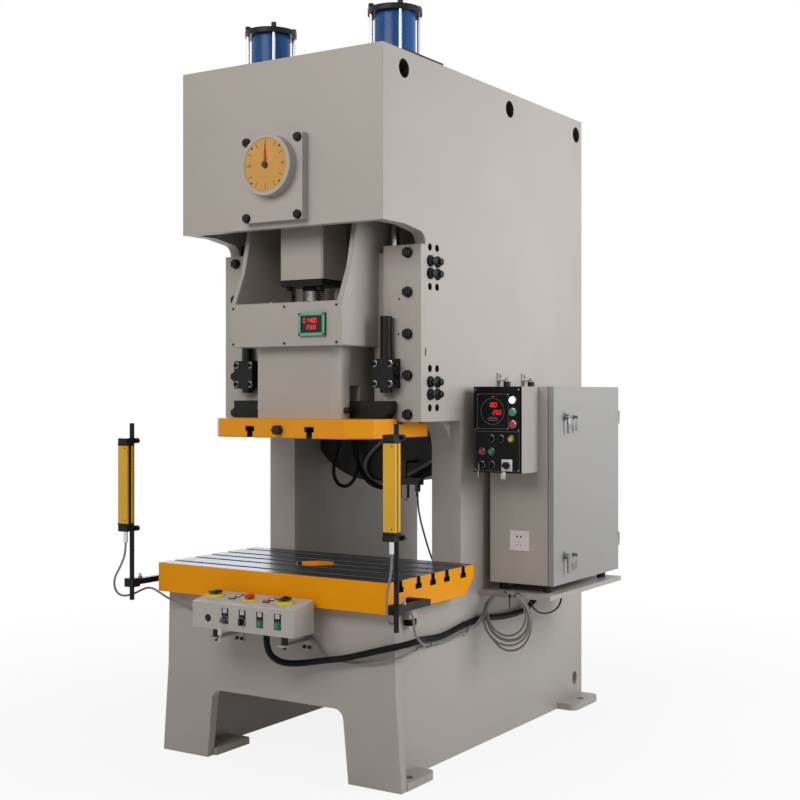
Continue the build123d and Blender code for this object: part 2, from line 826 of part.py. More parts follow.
# Tie rods between base and top flange, with their nuts
with BuildPart() as tie_rods:
    rod_base = frame_height + base_thickness
    rod_top = cylinder_top - top_flange_thickness
    with BuildSketch(level(rod_base)):
        with Locations((cylinder_x, behind(cylinder_depth))):
            with PolarLocations(tie_rod_circle, 4, start_angle=45):
                Circle(tie_rod_radius)
    extrude(amount=rod_top - rod_base)
    with BuildSketch(level(cylinder_top)):
        with Locations((cylinder_x, behind(cylinder_depth))):
            with PolarLocations(tie_rod_circle, 4, start_angle=45):
                RegularPolygon(tie_nut_radius, 6)
    extrude(amount=tie_nut_height)
    mirror(about=Plane.YZ)
finish_group([*balance_cylinders.part.solids(), *tie_rods.part.solids()], "balance_cylinders")

# Knock-out bar, lying in the slide's window
with BuildPart() as knock_out_bar:
    with BuildSketch(across(bar_front + bar_depth)) as bar_face:
        with Locations((0, slide_flange_top + bar_height / 2)):
            Rectangle(2 * bar_half, bar_height)
        low_corners = bar_face.vertices().group_by(Axis.Y)[0]
        chamfer(low_corners, bar_chamfer)
    extrude(amount=bar_depth)
finish(knock_out_bar, "knock_out_bar")

# Knock-out stops: split clamps on the gib plates, each holding a threaded stop rod
with BuildPart() as knock_out_stops:
    block((clamp_inner, clamp_outer), (clamp_front, gib_front), (clamp_bottom, clamp_top))
    rod("Z", (stop_rod_x, stop_rod_depth, clamp_bottom), stop_rod_radius,
        clamp_top - clamp_bottom, Mode.SUBTRACT)
    mirror(about=Plane.YZ)

with BuildPart() as stop_rods:
    rod("Z", (stop_rod_x, stop_rod_depth, stop_rod_bottom), stop_rod_radius, stop_rod_top - stop_rod_bottom)
    mirror(about=Plane.YZ)
finish_group([*knock_out_stops.part.solids(), *stop_rods.part.solids()], "knock_out_stops")

# Pinion shaft: the pinion cut on it, meshing under the main gear
with BuildPart() as pinion_shaft:
    pinion_front = gear_front + (gear_width - pinion_width) / 2
    first_pinion_tooth = 90 + 180 / pinion_teeth
    outline = gear_outline(pinion_teeth, first_pinion_tooth)
    with BuildSketch(across(pinion_front + pinion_width)):
        with BuildLine():
            Polyline(*[(x, z + shaft_height) for x, z in outline], close=True)
        make_face()
    extrude(amount=pinion_width)
    rod("Y", (0, shaft_front, shaft_height), shaft_radius, shaft_back - shaft_front)
finish(pinion_shaft, "pinion_shaft")


def grooved_wheel(center_z, front, width, radius, bore, rim, hub):
    """Profile points (depth, radius) of a wheel with its belt grooves, to revolve about its axis."""
    groove_half = belt_width / 2 + 1
    rim_points = [(front, bore), (front, radius)]
    for belt in range(belt_count):
        middle = first_belt + belt * belt_pitch
        rim_points += [
            (middle - groove_half, radius),
            (middle - groove_half, radius - groove_depth),
            (middle + groove_half, radius - groove_depth),
            (middle + groove_half, radius),
        ]
    rim_points += [(front + width, radius), (front + width, bore)]
    with BuildPart() as wheel:
        with BuildSketch(Plane.YZ):
            with BuildLine():
                Polyline(*[(behind(depth), center_z + r) for depth, r in rim_points], close=True)
            make_face()
        revolve(axis=Axis((0, 0, center_z), (0, 1, 0)))
        if rim > hub:
            dish = width / 2 - 20
            for start in (front, front + width - dish):
                with BuildSketch(across(start + dish)):
                    with Locations((0, center_z)):
                        Circle(rim)
                        Circle(hub, mode=Mode.SUBTRACT)
                extrude(amount=dish, mode=Mode.SUBTRACT)
    return wheel


# Flywheel, free on the pinion shaft until the clutch takes it, and the motor's pulley
flywheel = grooved_wheel(shaft_height, flywheel_front, flywheel_width, flywheel_radius,
                         shaft_radius + running_clearance, flywheel_radius - flywheel_rim, flywheel_hub)
finish(flywheel, "flywheel")
pulley_front = first_belt - 22
pulley_width = (belt_count - 1) * belt_pitch + 44
motor_pulley = grooved_wheel(motor_height, pulley_front, pulley_width, pulley_radius,
                             motor_shaft_radius + running_clearance, 0, 0)
finish(motor_pulley, "motor_pulley")

# Drive belts round the flywheel and the pulley
with BuildPart() as drive_belts:
    big = flywheel_radius - groove_depth + belt_gap
    small = pulley_radius - groove_depth + belt_gap
    for belt in range(belt_count):
        belt_back = first_belt + belt * belt_pitch + belt_width / 2
        with BuildSketch(across(belt_back)) as loop:
            with Locations((0, shaft_height)):
                Circle(big + belt_thickness)
            with Locations((0, motor_height)):
                Circle(small + belt_thickness)
            make_hull()
        with BuildSketch(across(belt_back), mode=Mode.PRIVATE) as hole:
            with Locations((0, shaft_height)):
                Circle(big)
            with Locations((0, motor_height)):
                Circle(small)
            make_hull()
        extrude(amount=belt_width)
        extrude(hole.sketch, amount=belt_width, mode=Mode.SUBTRACT)
finish(drive_belts, "drive_belts")

# Motor on its shelf: finned body, feet, terminal box and shaft
with BuildPart() as motor:
    body_front = shelf_front + 20
    body_back = body_front + motor_body_length
    core_radius = motor_radius - fin_height
    rod("Y", (0, body_front, motor_height), core_radius, motor_body_length)
    with BuildSketch(across(body_back - 20)):
        with Locations((0, motor_height)):
            with PolarLocations(core_radius, 20):
                Rectangle(20, 6)
    extrude(amount=motor_body_length - 40)
    rod("Y", (0, body_front - motor_end_cap, motor_height), motor_radius, 40)
    rod("Y", (0, body_back + motor_end_cap - 32, motor_height), motor_radius, 32)
    for side in (-1, 1):
        block(sorted((side * 55, side * 125)), (body_front + 40, body_back - 40),
              (shelf_top, motor_height - 70))
    block((-55, 55), (body_front + 90, body_front + 210), (motor_height + 100, motor_height + 165))
    rod("Y", (0, body_back, motor_height), motor_shaft_radius,
        first_belt + belt_count * belt_pitch - body_back)
finish(motor, "motor")

# Flywheel guard: the dark sheet trough seen through the throat
with BuildPart() as flywheel_guard:
    for inset, start, mode in ((0, guard_front, Mode.ADD),
                               (guard_skin, guard_front + guard_skin, Mode.SUBTRACT)):
        with BuildSketch(across(guard_front + guard_depth)) as trough:
            with BuildLine():
                Polyline(
                    (-half_inside + inset, guard_top),
                    (-half_inside + inset, guard_bottom + inset),
                    (half_inside - inset, guard_bottom + inset),
                    (half_inside - inset, guard_top),
                    close=True,
                )
            make_face()
            low = trough.vertices().group_by(Axis.Y)[0]
            fillet(low, guard_corner - inset)
        extrude(amount=guard_front + guard_depth - start, mode=mode)
finish(flywheel_guard, "flywheel_guard")

# Electrical cabinet
cabinet_gap = 36
cabinet_width = 275
cabinet_x = (half_frame + cabinet_gap, half_frame + cabinet_gap + cabinet_width)
cabinet_depths = (789, 1470)
cabinet_z = (701, 1538)
skin = 3
lip = 18
door_gap = 0.5
door_thickness = 25
hinge_reach = 22
hinge_offset = 8
hinge_leaf = 1.5
hinge_x = cabinet_x[1] + hinge_reach
hinge_depth = cabinet_depths[1] + hinge_offset
hinge_rows = (840, 1400)
knuckle_radius = 7
knuckle_gap = 1
pin_radius = 4
knuckle_length = 30
socket_inset = 98
socket_width = 90
socket_thickness = 5
socket_z = (842, 927)

with BuildPart() as electrical_cabinet:
    block(cabinet_x, cabinet_depths, cabinet_z)
    inner_depths = (cabinet_depths[0] + skin, cabinet_depths[1] - skin)
    block((cabinet_x[0] + skin, cabinet_x[1] - skin), inner_depths,
          (cabinet_z[0] + skin, cabinet_z[1] - skin), Mode.SUBTRACT)
    block((cabinet_x[1] - skin, cabinet_x[1]), (cabinet_depths[0] + lip, cabinet_depths[1] - lip),
          (cabinet_z[0] + lip, cabinet_z[1] - lip), Mode.SUBTRACT)
    for z in hinge_rows:
        leaf_z = (z - knuckle_length, z - knuckle_gap)
        block((cabinet_x[1] - lip, hinge_x), (cabinet_depths[1], cabinet_depths[1] + hinge_leaf), leaf_z)
        rod("Z", (hinge_x, hinge_depth, leaf_z[0]), knuckle_radius, knuckle_length - knuckle_gap)
        rod("Z", (hinge_x, hinge_depth, leaf_z[1]), pin_radius, knuckle_length)
    socket_left = cabinet_x[0] + socket_inset
    block((socket_left, socket_left + socket_width),
          (cabinet_depths[0] - socket_thickness, cabinet_depths[0]), socket_z)
finish(electrical_cabinet, "electrical_cabinet")

with BuildPart() as cabinet_door:
    door_x = (cabinet_x[1] + door_gap, cabinet_x[1] + door_gap + door_thickness)
    block(door_x, cabinet_depths, cabinet_z)
    block((door_x[0], door_x[1] - skin), inner_depths, (cabinet_z[0] + skin, cabinet_z[1] - skin),
          Mode.SUBTRACT)
    for z in hinge_rows:
        rod("Z", (hinge_x, hinge_depth, z), knuckle_radius, knuckle_length)
        block((hinge_x - 3, hinge_x + 3), (cabinet_depths[1] - 1, hinge_depth), (z, z + knuckle_length))
        rod("Z", (hinge_x, hinge_depth, z), pin_radius + running_clearance, knuckle_length, Mode.SUBTRACT)
finish(cabinet_door, "cabinet_door")

# Swing handles: a rosette on the door and a lever hanging from it
handle_rows = (1410, 818)
handle_depth = 893
handle_names = ("upper_handle", "lower_handle")
rosette_radius = 15
rosette_height = 14
lever_length = 96
lever_width = 22
lever_drop = 32
lever_thickness = 11
for name, z in zip(handle_names, handle_rows):
    with BuildPart() as handle:
        rod("X", (door_x[1], handle_depth, z), rosette_radius, rosette_height)
        with BuildSketch(beside(door_x[1] + rosette_height)):
            with Locations((behind(handle_depth), z - lever_drop)):
                SlotOverall(lever_length, lever_width, rotation=90)
        extrude(amount=lever_thickness)
    finish(handle, name)

# Cabinet shelf, rubber mounts and top brackets, on the right side plate
shelf_margin = 28
shelf_skin = 4
shelf_x = (half_frame, cabinet_x[1] + shelf_margin)
shelf_depths = (750, 1495)
shelf_z = (645, 665)
foot_radius = 20
bracket_width = 40
bracket_reach = 45
bracket_thickness = 6
bracket_height = 38
bush_radius = 16
bush_height = 24
coil_x = 654
strap_width = 4
strap_drop = 65

with BuildPart() as cabinet_mounts:
    block(shelf_x, shelf_depths, shelf_z)
    block((shelf_x[0], shelf_x[1] - shelf_skin),
          (shelf_depths[0] + shelf_skin, shelf_depths[1] - shelf_skin),
          (shelf_z[0], shelf_z[1] - shelf_skin), Mode.SUBTRACT)
    for x in (cabinet_x[0] + 35, cabinet_x[1] - 30):
        for depth in (cabinet_depths[0] + 61, cabinet_depths[1] - 70):
            rod("Z", (x, depth, shelf_z[1]), foot_radius, cabinet_z[0] - shelf_z[1])
    bracket_bottom = cabinet_z[1] + bush_height
    for depth in (935, 1168):
        bracket_depths = (depth - bracket_width / 2, depth + bracket_width / 2)
        block((half_frame, half_frame + bracket_reach), bracket_depths,
              (bracket_bottom, bracket_bottom + bracket_thickness))
        block((half_frame, half_frame + bracket_thickness), bracket_depths,
              (bracket_bottom, bracket_bottom + bracket_height))
        rod("Z", (cabinet_x[0] + 4, depth, cabinet_z[1]), bush_radius, bush_height)
    block((coil_x - strap_width / 2, coil_x + strap_width / 2),
          (shelf_depths[0] - strap_width, shelf_depths[0]), (shelf_z[1] - strap_drop, shelf_z[1]))
finish(cabinet_mounts, "cabinet_mounts")

# Operator panel box on the cabinet's front
panel_inset = 5
panel_width = 225
panel_left = cabinet_x[0] + panel_inset
panel_x = (panel_left, panel_left + panel_width)
panel_front = 630
panel_z = (1179, 1538)
panel_plate = 5
panel_margin = 6
display_left = panel_left + 22
display_width = 150
display_z = (1361, 1509)
display_thickness = 6
display_ring = (54, 60)
display_ring_rise = 3
lamp_x = panel_left + 190
lamp_rows = (1482, 1433, 1383)
lamp_length = 12
bezel_radius = 15
bezel_thickness = 6
button_radius = 11
button_length = 16
button_stand = 4
switch_places = ((panel_left + 87, 1322), (panel_left + 132, 1322), (panel_left + 89, 1212),
                 (panel_left + 42, 1212))
switch_grip = (8, 26)
switch_length = 14
rotary_x = panel_left + 161
rotary_row = 1212
rotary_plate = 48
rotary_plate_thickness = 4
rotary_radius = 14
rotary_length = 18
panel_buttons = {"panel_yellow_button": (panel_left + 180, 1321),
                 "panel_red_button": (panel_left + 43, 1267),
                 "panel_green_button": (panel_left + 88, 1267)}

with BuildPart() as operator_panel:
    plate_back = panel_front + panel_plate
    bezel_front = panel_front - bezel_thickness
    block(panel_x, (plate_back, cabinet_depths[0]), panel_z)
    block((panel_x[0] + panel_margin, panel_x[1] - panel_margin), (panel_front, plate_back),
          (panel_z[0] + panel_margin, panel_z[1] - panel_margin))
    block((display_left, display_left + display_width),
          (panel_front - display_thickness, panel_front), display_z)
    with BuildSketch(across(panel_front - display_thickness)):
        with Locations((display_left + display_width / 2, sum(display_z) / 2)):
            Circle(display_ring[1])
            Circle(display_ring[0], mode=Mode.SUBTRACT)
    extrude(amount=display_ring_rise)
    for z in lamp_rows:
        rod("Y", (lamp_x, panel_front - lamp_length, z), bezel_radius, lamp_length)
    for x, z in switch_places:
        rod("Y", (x, bezel_front, z), bezel_radius, bezel_thickness)
        block((x - switch_grip[0] / 2, x + switch_grip[0] / 2), (bezel_front - switch_length, bezel_front),
              (z - switch_grip[1] / 2, z + switch_grip[1] / 2))
    rotary_front = panel_front - rotary_plate_thickness
    block((rotary_x - rotary_plate / 2, rotary_x + rotary_plate / 2), (rotary_front, panel_front),
          (rotary_row - rotary_plate / 2, rotary_row + rotary_plate / 2))
    rod("Y", (rotary_x, rotary_front - rotary_length, rotary_row), rotary_radius, rotary_length)
    for x, z in panel_buttons.values():
        rod("Y", (x, bezel_front, z), bezel_radius, bezel_thickness)
        rod("Y", (x, bezel_front, z), button_radius + running_clearance, button_length, Mode.SUBTRACT)
finish(operator_panel, "operator_panel")

# Push buttons on the operator panel, sprung into their bezels
for name, (x, z) in panel_buttons.items():
    with BuildPart() as button:
        rod("Y", (x, panel_front - bezel_thickness - button_stand, z), button_radius, button_length)
    finish(button, name)

# Two-hand control box, with its sloped top, collars, arms and rubber feet
box_corner = 8
box_half = 250
box_front = -232
box_back = -92
box_bottom = 585
box_front_top = 687
box_back_top = 713
palm_depth = -172
palm_x = {"left_palm_button": -180, "right_palm_button": 165}
lighted_x = {"left_lighted_button": -94, "right_lighted_button": 75}
green_x = {"left_green_button": 92, "right_green_button": 178}
key_x = -80
selector_x = 6
front_row = 627
stop_x = -5
stop_base_radius = 32
stop_head_radius = 19.5
stem_radius = 8
small_stem_radius = 6
collar_radius = 33.5
collar_root = 690
collar_top = 713
stop_base_top = 706
lighted_top = 704
front_bezel = 5
gland_place = (66, -158, 572)
gland_radius = 16
arm_x = (-180, 162)
arm_depth_end = apron_front - 6
box_foot_radius = 13
arm_level = (537, 543)
arm_half = 20

with BuildPart() as two_hand_box:
    with BuildSketch(beside(-box_half)):
        with BuildLine():
            Polyline(
                (behind(box_front), box_bottom),
                (behind(box_front), box_front_top),
                (behind(box_back), box_back_top),
                (behind(box_back), box_bottom),
                close=True,
            )
        make_face()
    extrude(amount=2 * box_half)
    fillet(two_hand_box.edges().filter_by(Axis.Z), box_corner)
    for x in palm_x.values():
        rod("Z", (x, palm_depth, collar_root), collar_radius, collar_top - collar_root)
        rod("Z", (x, palm_depth, collar_root - 4), stem_radius + running_clearance, 40, Mode.SUBTRACT)
    rod("Z", (stop_x, palm_depth, collar_root), stop_base_radius, stop_base_top - collar_root)
    rod("Z", (stop_x, palm_depth, collar_root - 10), stem_radius + running_clearance, 40, Mode.SUBTRACT)
    for x in lighted_x.values():
        rod("Z", (x, palm_depth, collar_root), bezel_radius, lighted_top - collar_root)
        rod("Z", (x, palm_depth, collar_root - 10), button_radius + running_clearance, 40, Mode.SUBTRACT)
    front_bores = [(key_x, small_stem_radius), (selector_x, small_stem_radius)]
    front_bores += [(x, button_radius) for x in green_x.values()]
    for x, bore in front_bores:
        rod("Y", (x, box_front - front_bezel, front_row), bezel_radius, front_bezel)
        rod("Y", (x, box_front - front_bezel, front_row), bore + running_clearance, 20, Mode.SUBTRACT)
    rod("Z", gland_place, gland_radius, box_bottom - gland_place[2])
    for x in arm_x:
        rod("Z", (x, palm_depth + 4, arm_level[1]), box_foot_radius, box_bottom - arm_level[1])
        block((x - arm_half, x + arm_half), (palm_depth - 18, arm_depth_end), arm_level)
        block((x - arm_half, x + arm_half), (arm_depth_end, apron_front), (496, arm_level[1]))
finish(two_hand_box, "two_hand_box")

# Palm buttons, emergency stop, lighted buttons, and the switches on the box's front
palm_travel = 6
palm_radius = 29
palm_rim = 4
palm_rise = 9
dome_radius = (palm_radius ** 2 + palm_rise ** 2) / (2 * palm_rise)
for name, x in palm_x.items():
    with BuildPart() as palm:
        rim = collar_top + palm_travel + 0.5
        shoulder = rim + palm_rim
        crown = shoulder + palm_rise
        half_angle = asin(palm_radius / dome_radius) / 2
        dome_middle = (x + dome_radius * sin(half_angle), crown - dome_radius * (1 - cos(half_angle)))
        with BuildSketch(across(palm_depth)):
            with BuildLine():
                Polyline((x, crown), (x, rim), (x + palm_radius, rim), (x + palm_radius, shoulder))
                ThreePointArc((x + palm_radius, shoulder), dome_middle, (x, crown))
            make_face()
        revolve(axis=Axis((x, behind(palm_depth), 0), (0, 0, 1)))
        stem_bottom = collar_root + 3
        rod("Z", (x, palm_depth, stem_bottom), stem_radius, rim - stem_bottom)
    finish(palm, name)

with BuildPart() as emergency_stop:
    stop_bottom = stop_base_top + 5
    rod("Z", (stop_x, palm_depth, stop_bottom), stop_head_radius, 14)
    rod("Z", (stop_x, palm_depth, collar_root - 4), stem_radius, stop_bottom + 1 - collar_root + 4)
    fillet(emergency_stop.edges().group_by(Axis.Z)[-1], 4)
finish(emergency_stop, "emergency_stop")

for name, x in lighted_x.items():
    with BuildPart() as lighted:
        rod("Z", (x, palm_depth, collar_root - 6), button_radius, lighted_top + 12 - collar_root)
    finish(lighted, name)

for name, x in green_x.items():
    with BuildPart() as green:
        rod("Y", (x, box_front - front_bezel - button_stand, front_row), button_radius, 18)
    finish(green, name)

with BuildPart() as key_switch:
    key_front = box_front - front_bezel - 2
    rod("Y", (key_x, key_front, front_row), small_stem_radius, 16)
    block((key_x - 2, key_x + 2), (key_front - 23, key_front), (front_row - 10, front_row + 10))
finish(key_switch, "key_switch")

with BuildPart() as selector_switch:
    selector_front = box_front - front_bezel - 3
    rod("Y", (selector_x, selector_front, front_row), 12, 2.5)
    rod("Y", (selector_x, selector_front + 2, front_row), small_stem_radius, 15)
    block((selector_x - 4, selector_x + 4), (selector_front - 14, selector_front),
          (front_row - 13, front_row + 13))
finish(selector_switch, "selector_switch")

# Light-curtain posts: rods with clamps, and arms from the bolster's sides
post_reach = 83
post_x = half_bolster + post_reach
post_depth = -145
post_radius = 10
curtain_depth = -180
curtain_bottoms = {-1: 959, 1: 996}
curtain_height = 342
post_ranges = {-1: (645, 1385), 1: (635, 1399)}
arm_depth = 66
arm_z = (706, 730)
post_clamp_half = 24
post_clamp_height = 22
clamp_knob = (8, 14)
arm_bar_half = 12
housing_offset = 2
housing_half = 26
plug_radius = 9
plug_length = 46
plug_drop = 70

with BuildPart() as curtain_posts:
    for side in (-1, 1):
        low, high = post_ranges[side]
        rod("Z", (side * post_x, post_depth, low), post_radius, high - low)
        curtain_low = curtain_bottoms[side]
        center = side * post_x
        clamp_x = (center - post_clamp_half, center + post_clamp_half)
        for z in (curtain_low - post_clamp_height - 2, curtain_low + curtain_height):
            block(clamp_x, (curtain_depth - 22, post_depth + 18), (z, z + post_clamp_height))
            rod("X", (clamp_x[1], post_depth, z + post_clamp_height / 2), *clamp_knob)
        block(clamp_x, (post_depth - 20, post_depth + 24), (arm_z[0] - 6, arm_z[1] + 6))
        block((center - arm_bar_half, center + arm_bar_half),
              (post_depth + 24, arm_depth + arm_bar_half), arm_z)
        arm_x_range = sorted((side * half_bolster, side * (post_x + arm_bar_half)))
        block(arm_x_range, (arm_depth - arm_bar_half, arm_depth + arm_bar_half), arm_z)
finish(curtain_posts, "curtain_posts")

# Light-curtain housings, one each side, with their plugs below
with BuildPart() as curtain_housings:
    for side in (-1, 1):
        x = side * (post_x + housing_offset)
        low = curtain_bottoms[side]
        block((x - housing_half, x + housing_half), (curtain_depth - 18, curtain_depth + 19),
              (low, low + curtain_height))
        rod("Z", (x, curtain_depth, low - plug_drop), plug_radius, plug_length)
finish(curtain_housings, "curtain_housings")

# Filter regulator and lever valve, hung from the guard behind the throat
valve_x = 228
valve_depth = 700
bowl_x = 165
bowl_radius = 20
bowl_bottom = 1050
drain_radius = 8
drain_length = 14
unit_x = (140, 250)
unit_z = (1110, 1140)
unit_half = 14
valve_radius = 12
valve_length = 30
bracket_x = (140, 170)
bracket_half = 6
bracket_top = 1212
bracket_plate = 10
lever_place = (valve_x + 14, valve_depth - 30, 1118)
lever_pin_radius = 5
lever_hub_radius = 9
lever_bottom = 1060
flange_inner = half_inside - flange_width
fitting_reach = 23
fitting_half = 10
fitting_z = (640, 668)
junction_x = (-225, 65)
junction_front = 722
junction_z = (1420, 1470)
hose_ends = ((766, 1196), (781, 1232))
hose_socket_radius = 16
hose_socket_length = 14

with BuildPart() as filter_regulator:
    rod("Z", (bowl_x, valve_depth, bowl_bottom), bowl_radius, unit_z[0] - bowl_bottom)
    rod("Z", (bowl_x, valve_depth, bowl_bottom - drain_length), drain_radius, drain_length)
    block(unit_x, (valve_depth - unit_half, valve_depth + unit_half), unit_z)
    block(bracket_x, (valve_depth - bracket_half, valve_depth + bracket_half), (unit_z[1] - 4, bracket_top))
    block(bracket_x, (valve_depth - bracket_half, guard_front), (bracket_top - bracket_plate, bracket_top))
    rod("Z", (valve_x, valve_depth, unit_z[0] - valve_length), valve_radius, valve_length)
    rod("Y", lever_place, lever_pin_radius, 16)
    block((flange_inner - fitting_reach, flange_inner),
          (valve_depth - fitting_half, valve_depth + fitting_half), fitting_z)
    block(junction_x, (junction_front, guard_front), junction_z)
    for depth, z in hose_ends:
        rod("X", (flange_inner - hose_socket_length, depth, z), hose_socket_radius, hose_socket_length)
finish(filter_regulator, "filter_regulator")

with BuildPart() as valve_lever:
    pivot_x, pivot_front, pivot_z = lever_place
    rod("Y", lever_place, lever_hub_radius, 6)
    block((pivot_x - 4, pivot_x + 4), (pivot_front, pivot_front + 4), (lever_bottom, pivot_z))
    rod("Y", (pivot_x, pivot_front - 1, pivot_z), lever_pin_radius + running_clearance, 9, Mode.SUBTRACT)
finish(valve_lever, "valve_lever")


def cord(name, diameter, route):
    """A cord's tube: straight runs joined by arcs as large as the runs allow."""
    points = [Vector(x, behind(depth), z) for x, depth, z in route]
    radii = []
    for before, corner, after in zip(points, points[1:], points[2:]):
        shorter_run = min((corner - before).length, (after - corner).length)
        turn = (corner - before).get_angle(after - corner)
        radii.append(0.45 * shorter_run / tan(radians(turn / 2)))
    with BuildPart() as tube:
        with BuildLine() as path:
            FilletPolyline(*points, radius=radii)
        with BuildSketch(Plane(origin=path.line @ 0, z_dir=path.line % 0)):
            Circle(diameter / 2)
        sweep()
    share = tube.part.volume / (pi * diameter ** 2 / 4 * path.wire().length)
    print(name, "length", round(path.wire().length), "volume share", round(share, 4),
          "radii", [round(radius) for radius in radii])
    finish(tube, name)


# Black conduit from the two-hand box along the base to the cabinet shelf
cord("conduit", 25, [
    (66, -158, 572), (66, -158, 520), (86, -139, 476), (124, -104, 455), (184, -62, 458),
    (262, -53, 474), (350, -51, 490), (430, -47, 512), (500, -45, 533), (560, -42, 550),
    (600, -20, 560), (622, 20, 566), (620, 70, 566), (596, 124, 558), (560, 182, 548),
    (528, 246, 535), (518, 322, 526), (518, 430, 519), (519, 590, 541), (518, 760, 547),
    (519, 920, 526), (520, 1080, 520), (526, 1160, 532), (540, 1216, 566), (548, 1238, 610),
    (548, 1238, 661),
])

# Left curtain's cable: under its arm, along the base behind the two-hand box, then to the coil
cord("curtain_cable_left", 9, [
    (-660, -180, 889), (-660, -180, 842), (-686, -184, 786), (-722, -184, 736), (-724, -180, 686),
    (-702, -160, 656), (-676, -112, 664), (-636, -96, 688), (-592, -96, 696), (-554, -88, 676),
    (-530, -62, 650), (-492, -30, 630), (-400, -27, 603), (-290, -27, 580), (-180, -27, 566),
    (-70, -27, 560), (45, -27, 557), (122, -27, 557), (180, -28, 557), (216, -28, 528),
    (246, -27, 492), (300, -27, 475), (390, -27, 470), (480, -28, 483), (556, -32, 504),
    (604, -16, 520), (620, 26, 530), (606, 80, 528), (572, 136, 517), (530, 204, 507),
    (511, 290, 498), (510, 380, 491), (510, 480, 492), (510, 570, 500), (513, 640, 510),
    (528, 690, 522), (549, 727, 562),
])

# Right curtain's cable: down beside its post, a loop at the base's edge, then along to the coil
cord("curtain_cable_right", 9, [
    (660, -180, 926), (660, -180, 878), (652, -182, 824), (641, -184, 770), (641, -186, 718),
    (641, -176, 676), (638, -138, 660), (634, -98, 676), (632, -62, 702), (635, -26, 704),
    (640, -2, 674), (642, 4, 636), (643, 8, 600), (648, 44, 566), (634, 94, 546),
    (590, 150, 532), (546, 212, 521), (524, 280, 507), (523, 350, 503), (523, 430, 500),
    (523, 520, 503), (524, 610, 512), (532, 676, 531), (552, 716, 566),
])

# The spare cable, coiled and tied to the shelf's front edge, with one longer loop
coil_depth = 728
coil_height = 568
coil_radius = 105
coil_half_width = 20
coil_half_depth = 18
loop_drop = 30
loop_radius = 116
with BuildPart() as cable_coil:
    with BuildSketch(Plane.YZ.offset(coil_x)):
        with Locations((behind(coil_depth), coil_height + coil_radius)):
            RectangleRounded(2 * coil_half_depth, 2 * coil_half_width, 12)
    revolve(axis=Axis((coil_x, behind(coil_depth), coil_height), (0, 1, 0)))
    with Locations(Location((coil_x, behind(coil_depth), coil_height - loop_drop), (90, 0, 0))):
        Torus(loop_radius, 7)
finish(cable_coil, "cable_coil")

# Thin black cable that hangs in a loop under the cabinet shelf
cord("cabinet_cable", 8, [
    (600, 1376, 661), (600, 1376, 612), (601, 1372, 562), (602, 1344, 526), (602, 1290, 510),
    (601, 1220, 507), (600, 1150, 518), (599, 1086, 546), (598, 1044, 590), (598, 1044, 661),
])

# Blue air tube from the lever valve down to its fitting beside the column
cord("air_tube", 8, [
    (228, 700, 1080), (228, 700, 1026), (240, 700, 962), (264, 700, 886), (290, 700, 814),
    (320, 700, 752), (351, 700, 714), (351, 700, 668),
])

# Hoses that hang in the throat below their junction box
cord("main_hose", 22, [
    (-158, 760, 1420), (-158, 760, 1330), (-146, 760, 1236), (-114, 760, 1150), (-50, 760, 1092),
    (36, 760, 1084), (124, 760, 1108), (210, 762, 1152), (290, 766, 1196), (350, 766, 1196),
])
cord("loop_hose", 16, [
    (-205, 735, 1420), (-205, 735, 1340), (-224, 735, 1262), (-244, 735, 1190), (-248, 735, 1136),
    (-224, 735, 1092), (-176, 735, 1082), (-134, 735, 1112), (-114, 735, 1168), (-116, 735, 1250),
    (-128, 735, 1336), (-128, 735, 1420),
])
cord("grey_hose", 18, [
    (40, 781, 1420), (40, 781, 1352), (-6, 781, 1296), (-72, 781, 1244), (-112, 781, 1184),
    (-86, 781, 1124), (-26, 781, 1104), (50, 781, 1118), (135, 781, 1150), (215, 781, 1190),
    (288, 781, 1232), (350, 781, 1232),
])
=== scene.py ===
from math import cos, radians, sin

import bmesh
import bpy
from mathutils import Matrix, Vector


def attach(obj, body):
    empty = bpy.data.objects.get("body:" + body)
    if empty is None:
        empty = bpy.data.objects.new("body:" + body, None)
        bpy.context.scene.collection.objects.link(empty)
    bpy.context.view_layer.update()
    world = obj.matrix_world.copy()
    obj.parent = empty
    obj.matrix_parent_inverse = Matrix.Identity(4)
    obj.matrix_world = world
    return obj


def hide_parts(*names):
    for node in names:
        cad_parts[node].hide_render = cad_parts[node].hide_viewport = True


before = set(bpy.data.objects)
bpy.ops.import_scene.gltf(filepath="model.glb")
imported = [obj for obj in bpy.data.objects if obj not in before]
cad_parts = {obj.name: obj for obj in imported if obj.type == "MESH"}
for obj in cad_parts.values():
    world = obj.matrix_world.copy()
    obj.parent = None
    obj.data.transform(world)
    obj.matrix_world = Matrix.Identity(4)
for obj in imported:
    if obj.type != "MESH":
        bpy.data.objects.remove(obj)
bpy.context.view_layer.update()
bpy.context.scene.view_settings.view_transform = "Standard"

# The camera stands to the right of the press, level at chest height, turned to its left. Depths
# everywhere below are metres behind the head's front face, as the press is measured.
head_front = -0.880


def show(made):
    """Puts a new object into the scene."""
    bpy.context.scene.collection.objects.link(made)
    return made


camera_data = bpy.data.cameras.new("photograph")
camera_data.sensor_width = 36
camera_data.lens = 59.37
camera_data.shift_y = -0.0091
camera = show(bpy.data.objects.new("photograph", camera_data))
camera.location = (3.2581, head_front - 4.2092, 1.5124)
camera.rotation_euler = (radians(90), 0, radians(32.453))
bpy.context.scene.camera = camera


# Cables and hoses: PVC sheath, rubber hose and blue nylon tube. Each hangs or lies on one smooth
# line between the gland it leaves and the box or coil that it enters.
def colour(red, green, blue):
    """A colour as it looks on the object, 0 to 255, turned into the shader's linear values."""
    values = []
    for value in (red, green, blue):
        share = value / 255
        values.append(share / 12.92 if share <= 0.04045 else ((share + 0.055) / 1.055) ** 2.4)
    return (*values, 1)


def at(x, depth, z):
    """A place on the press: to the right, behind the head's front face and above the floor."""
    return Vector((x, head_front + depth, z))


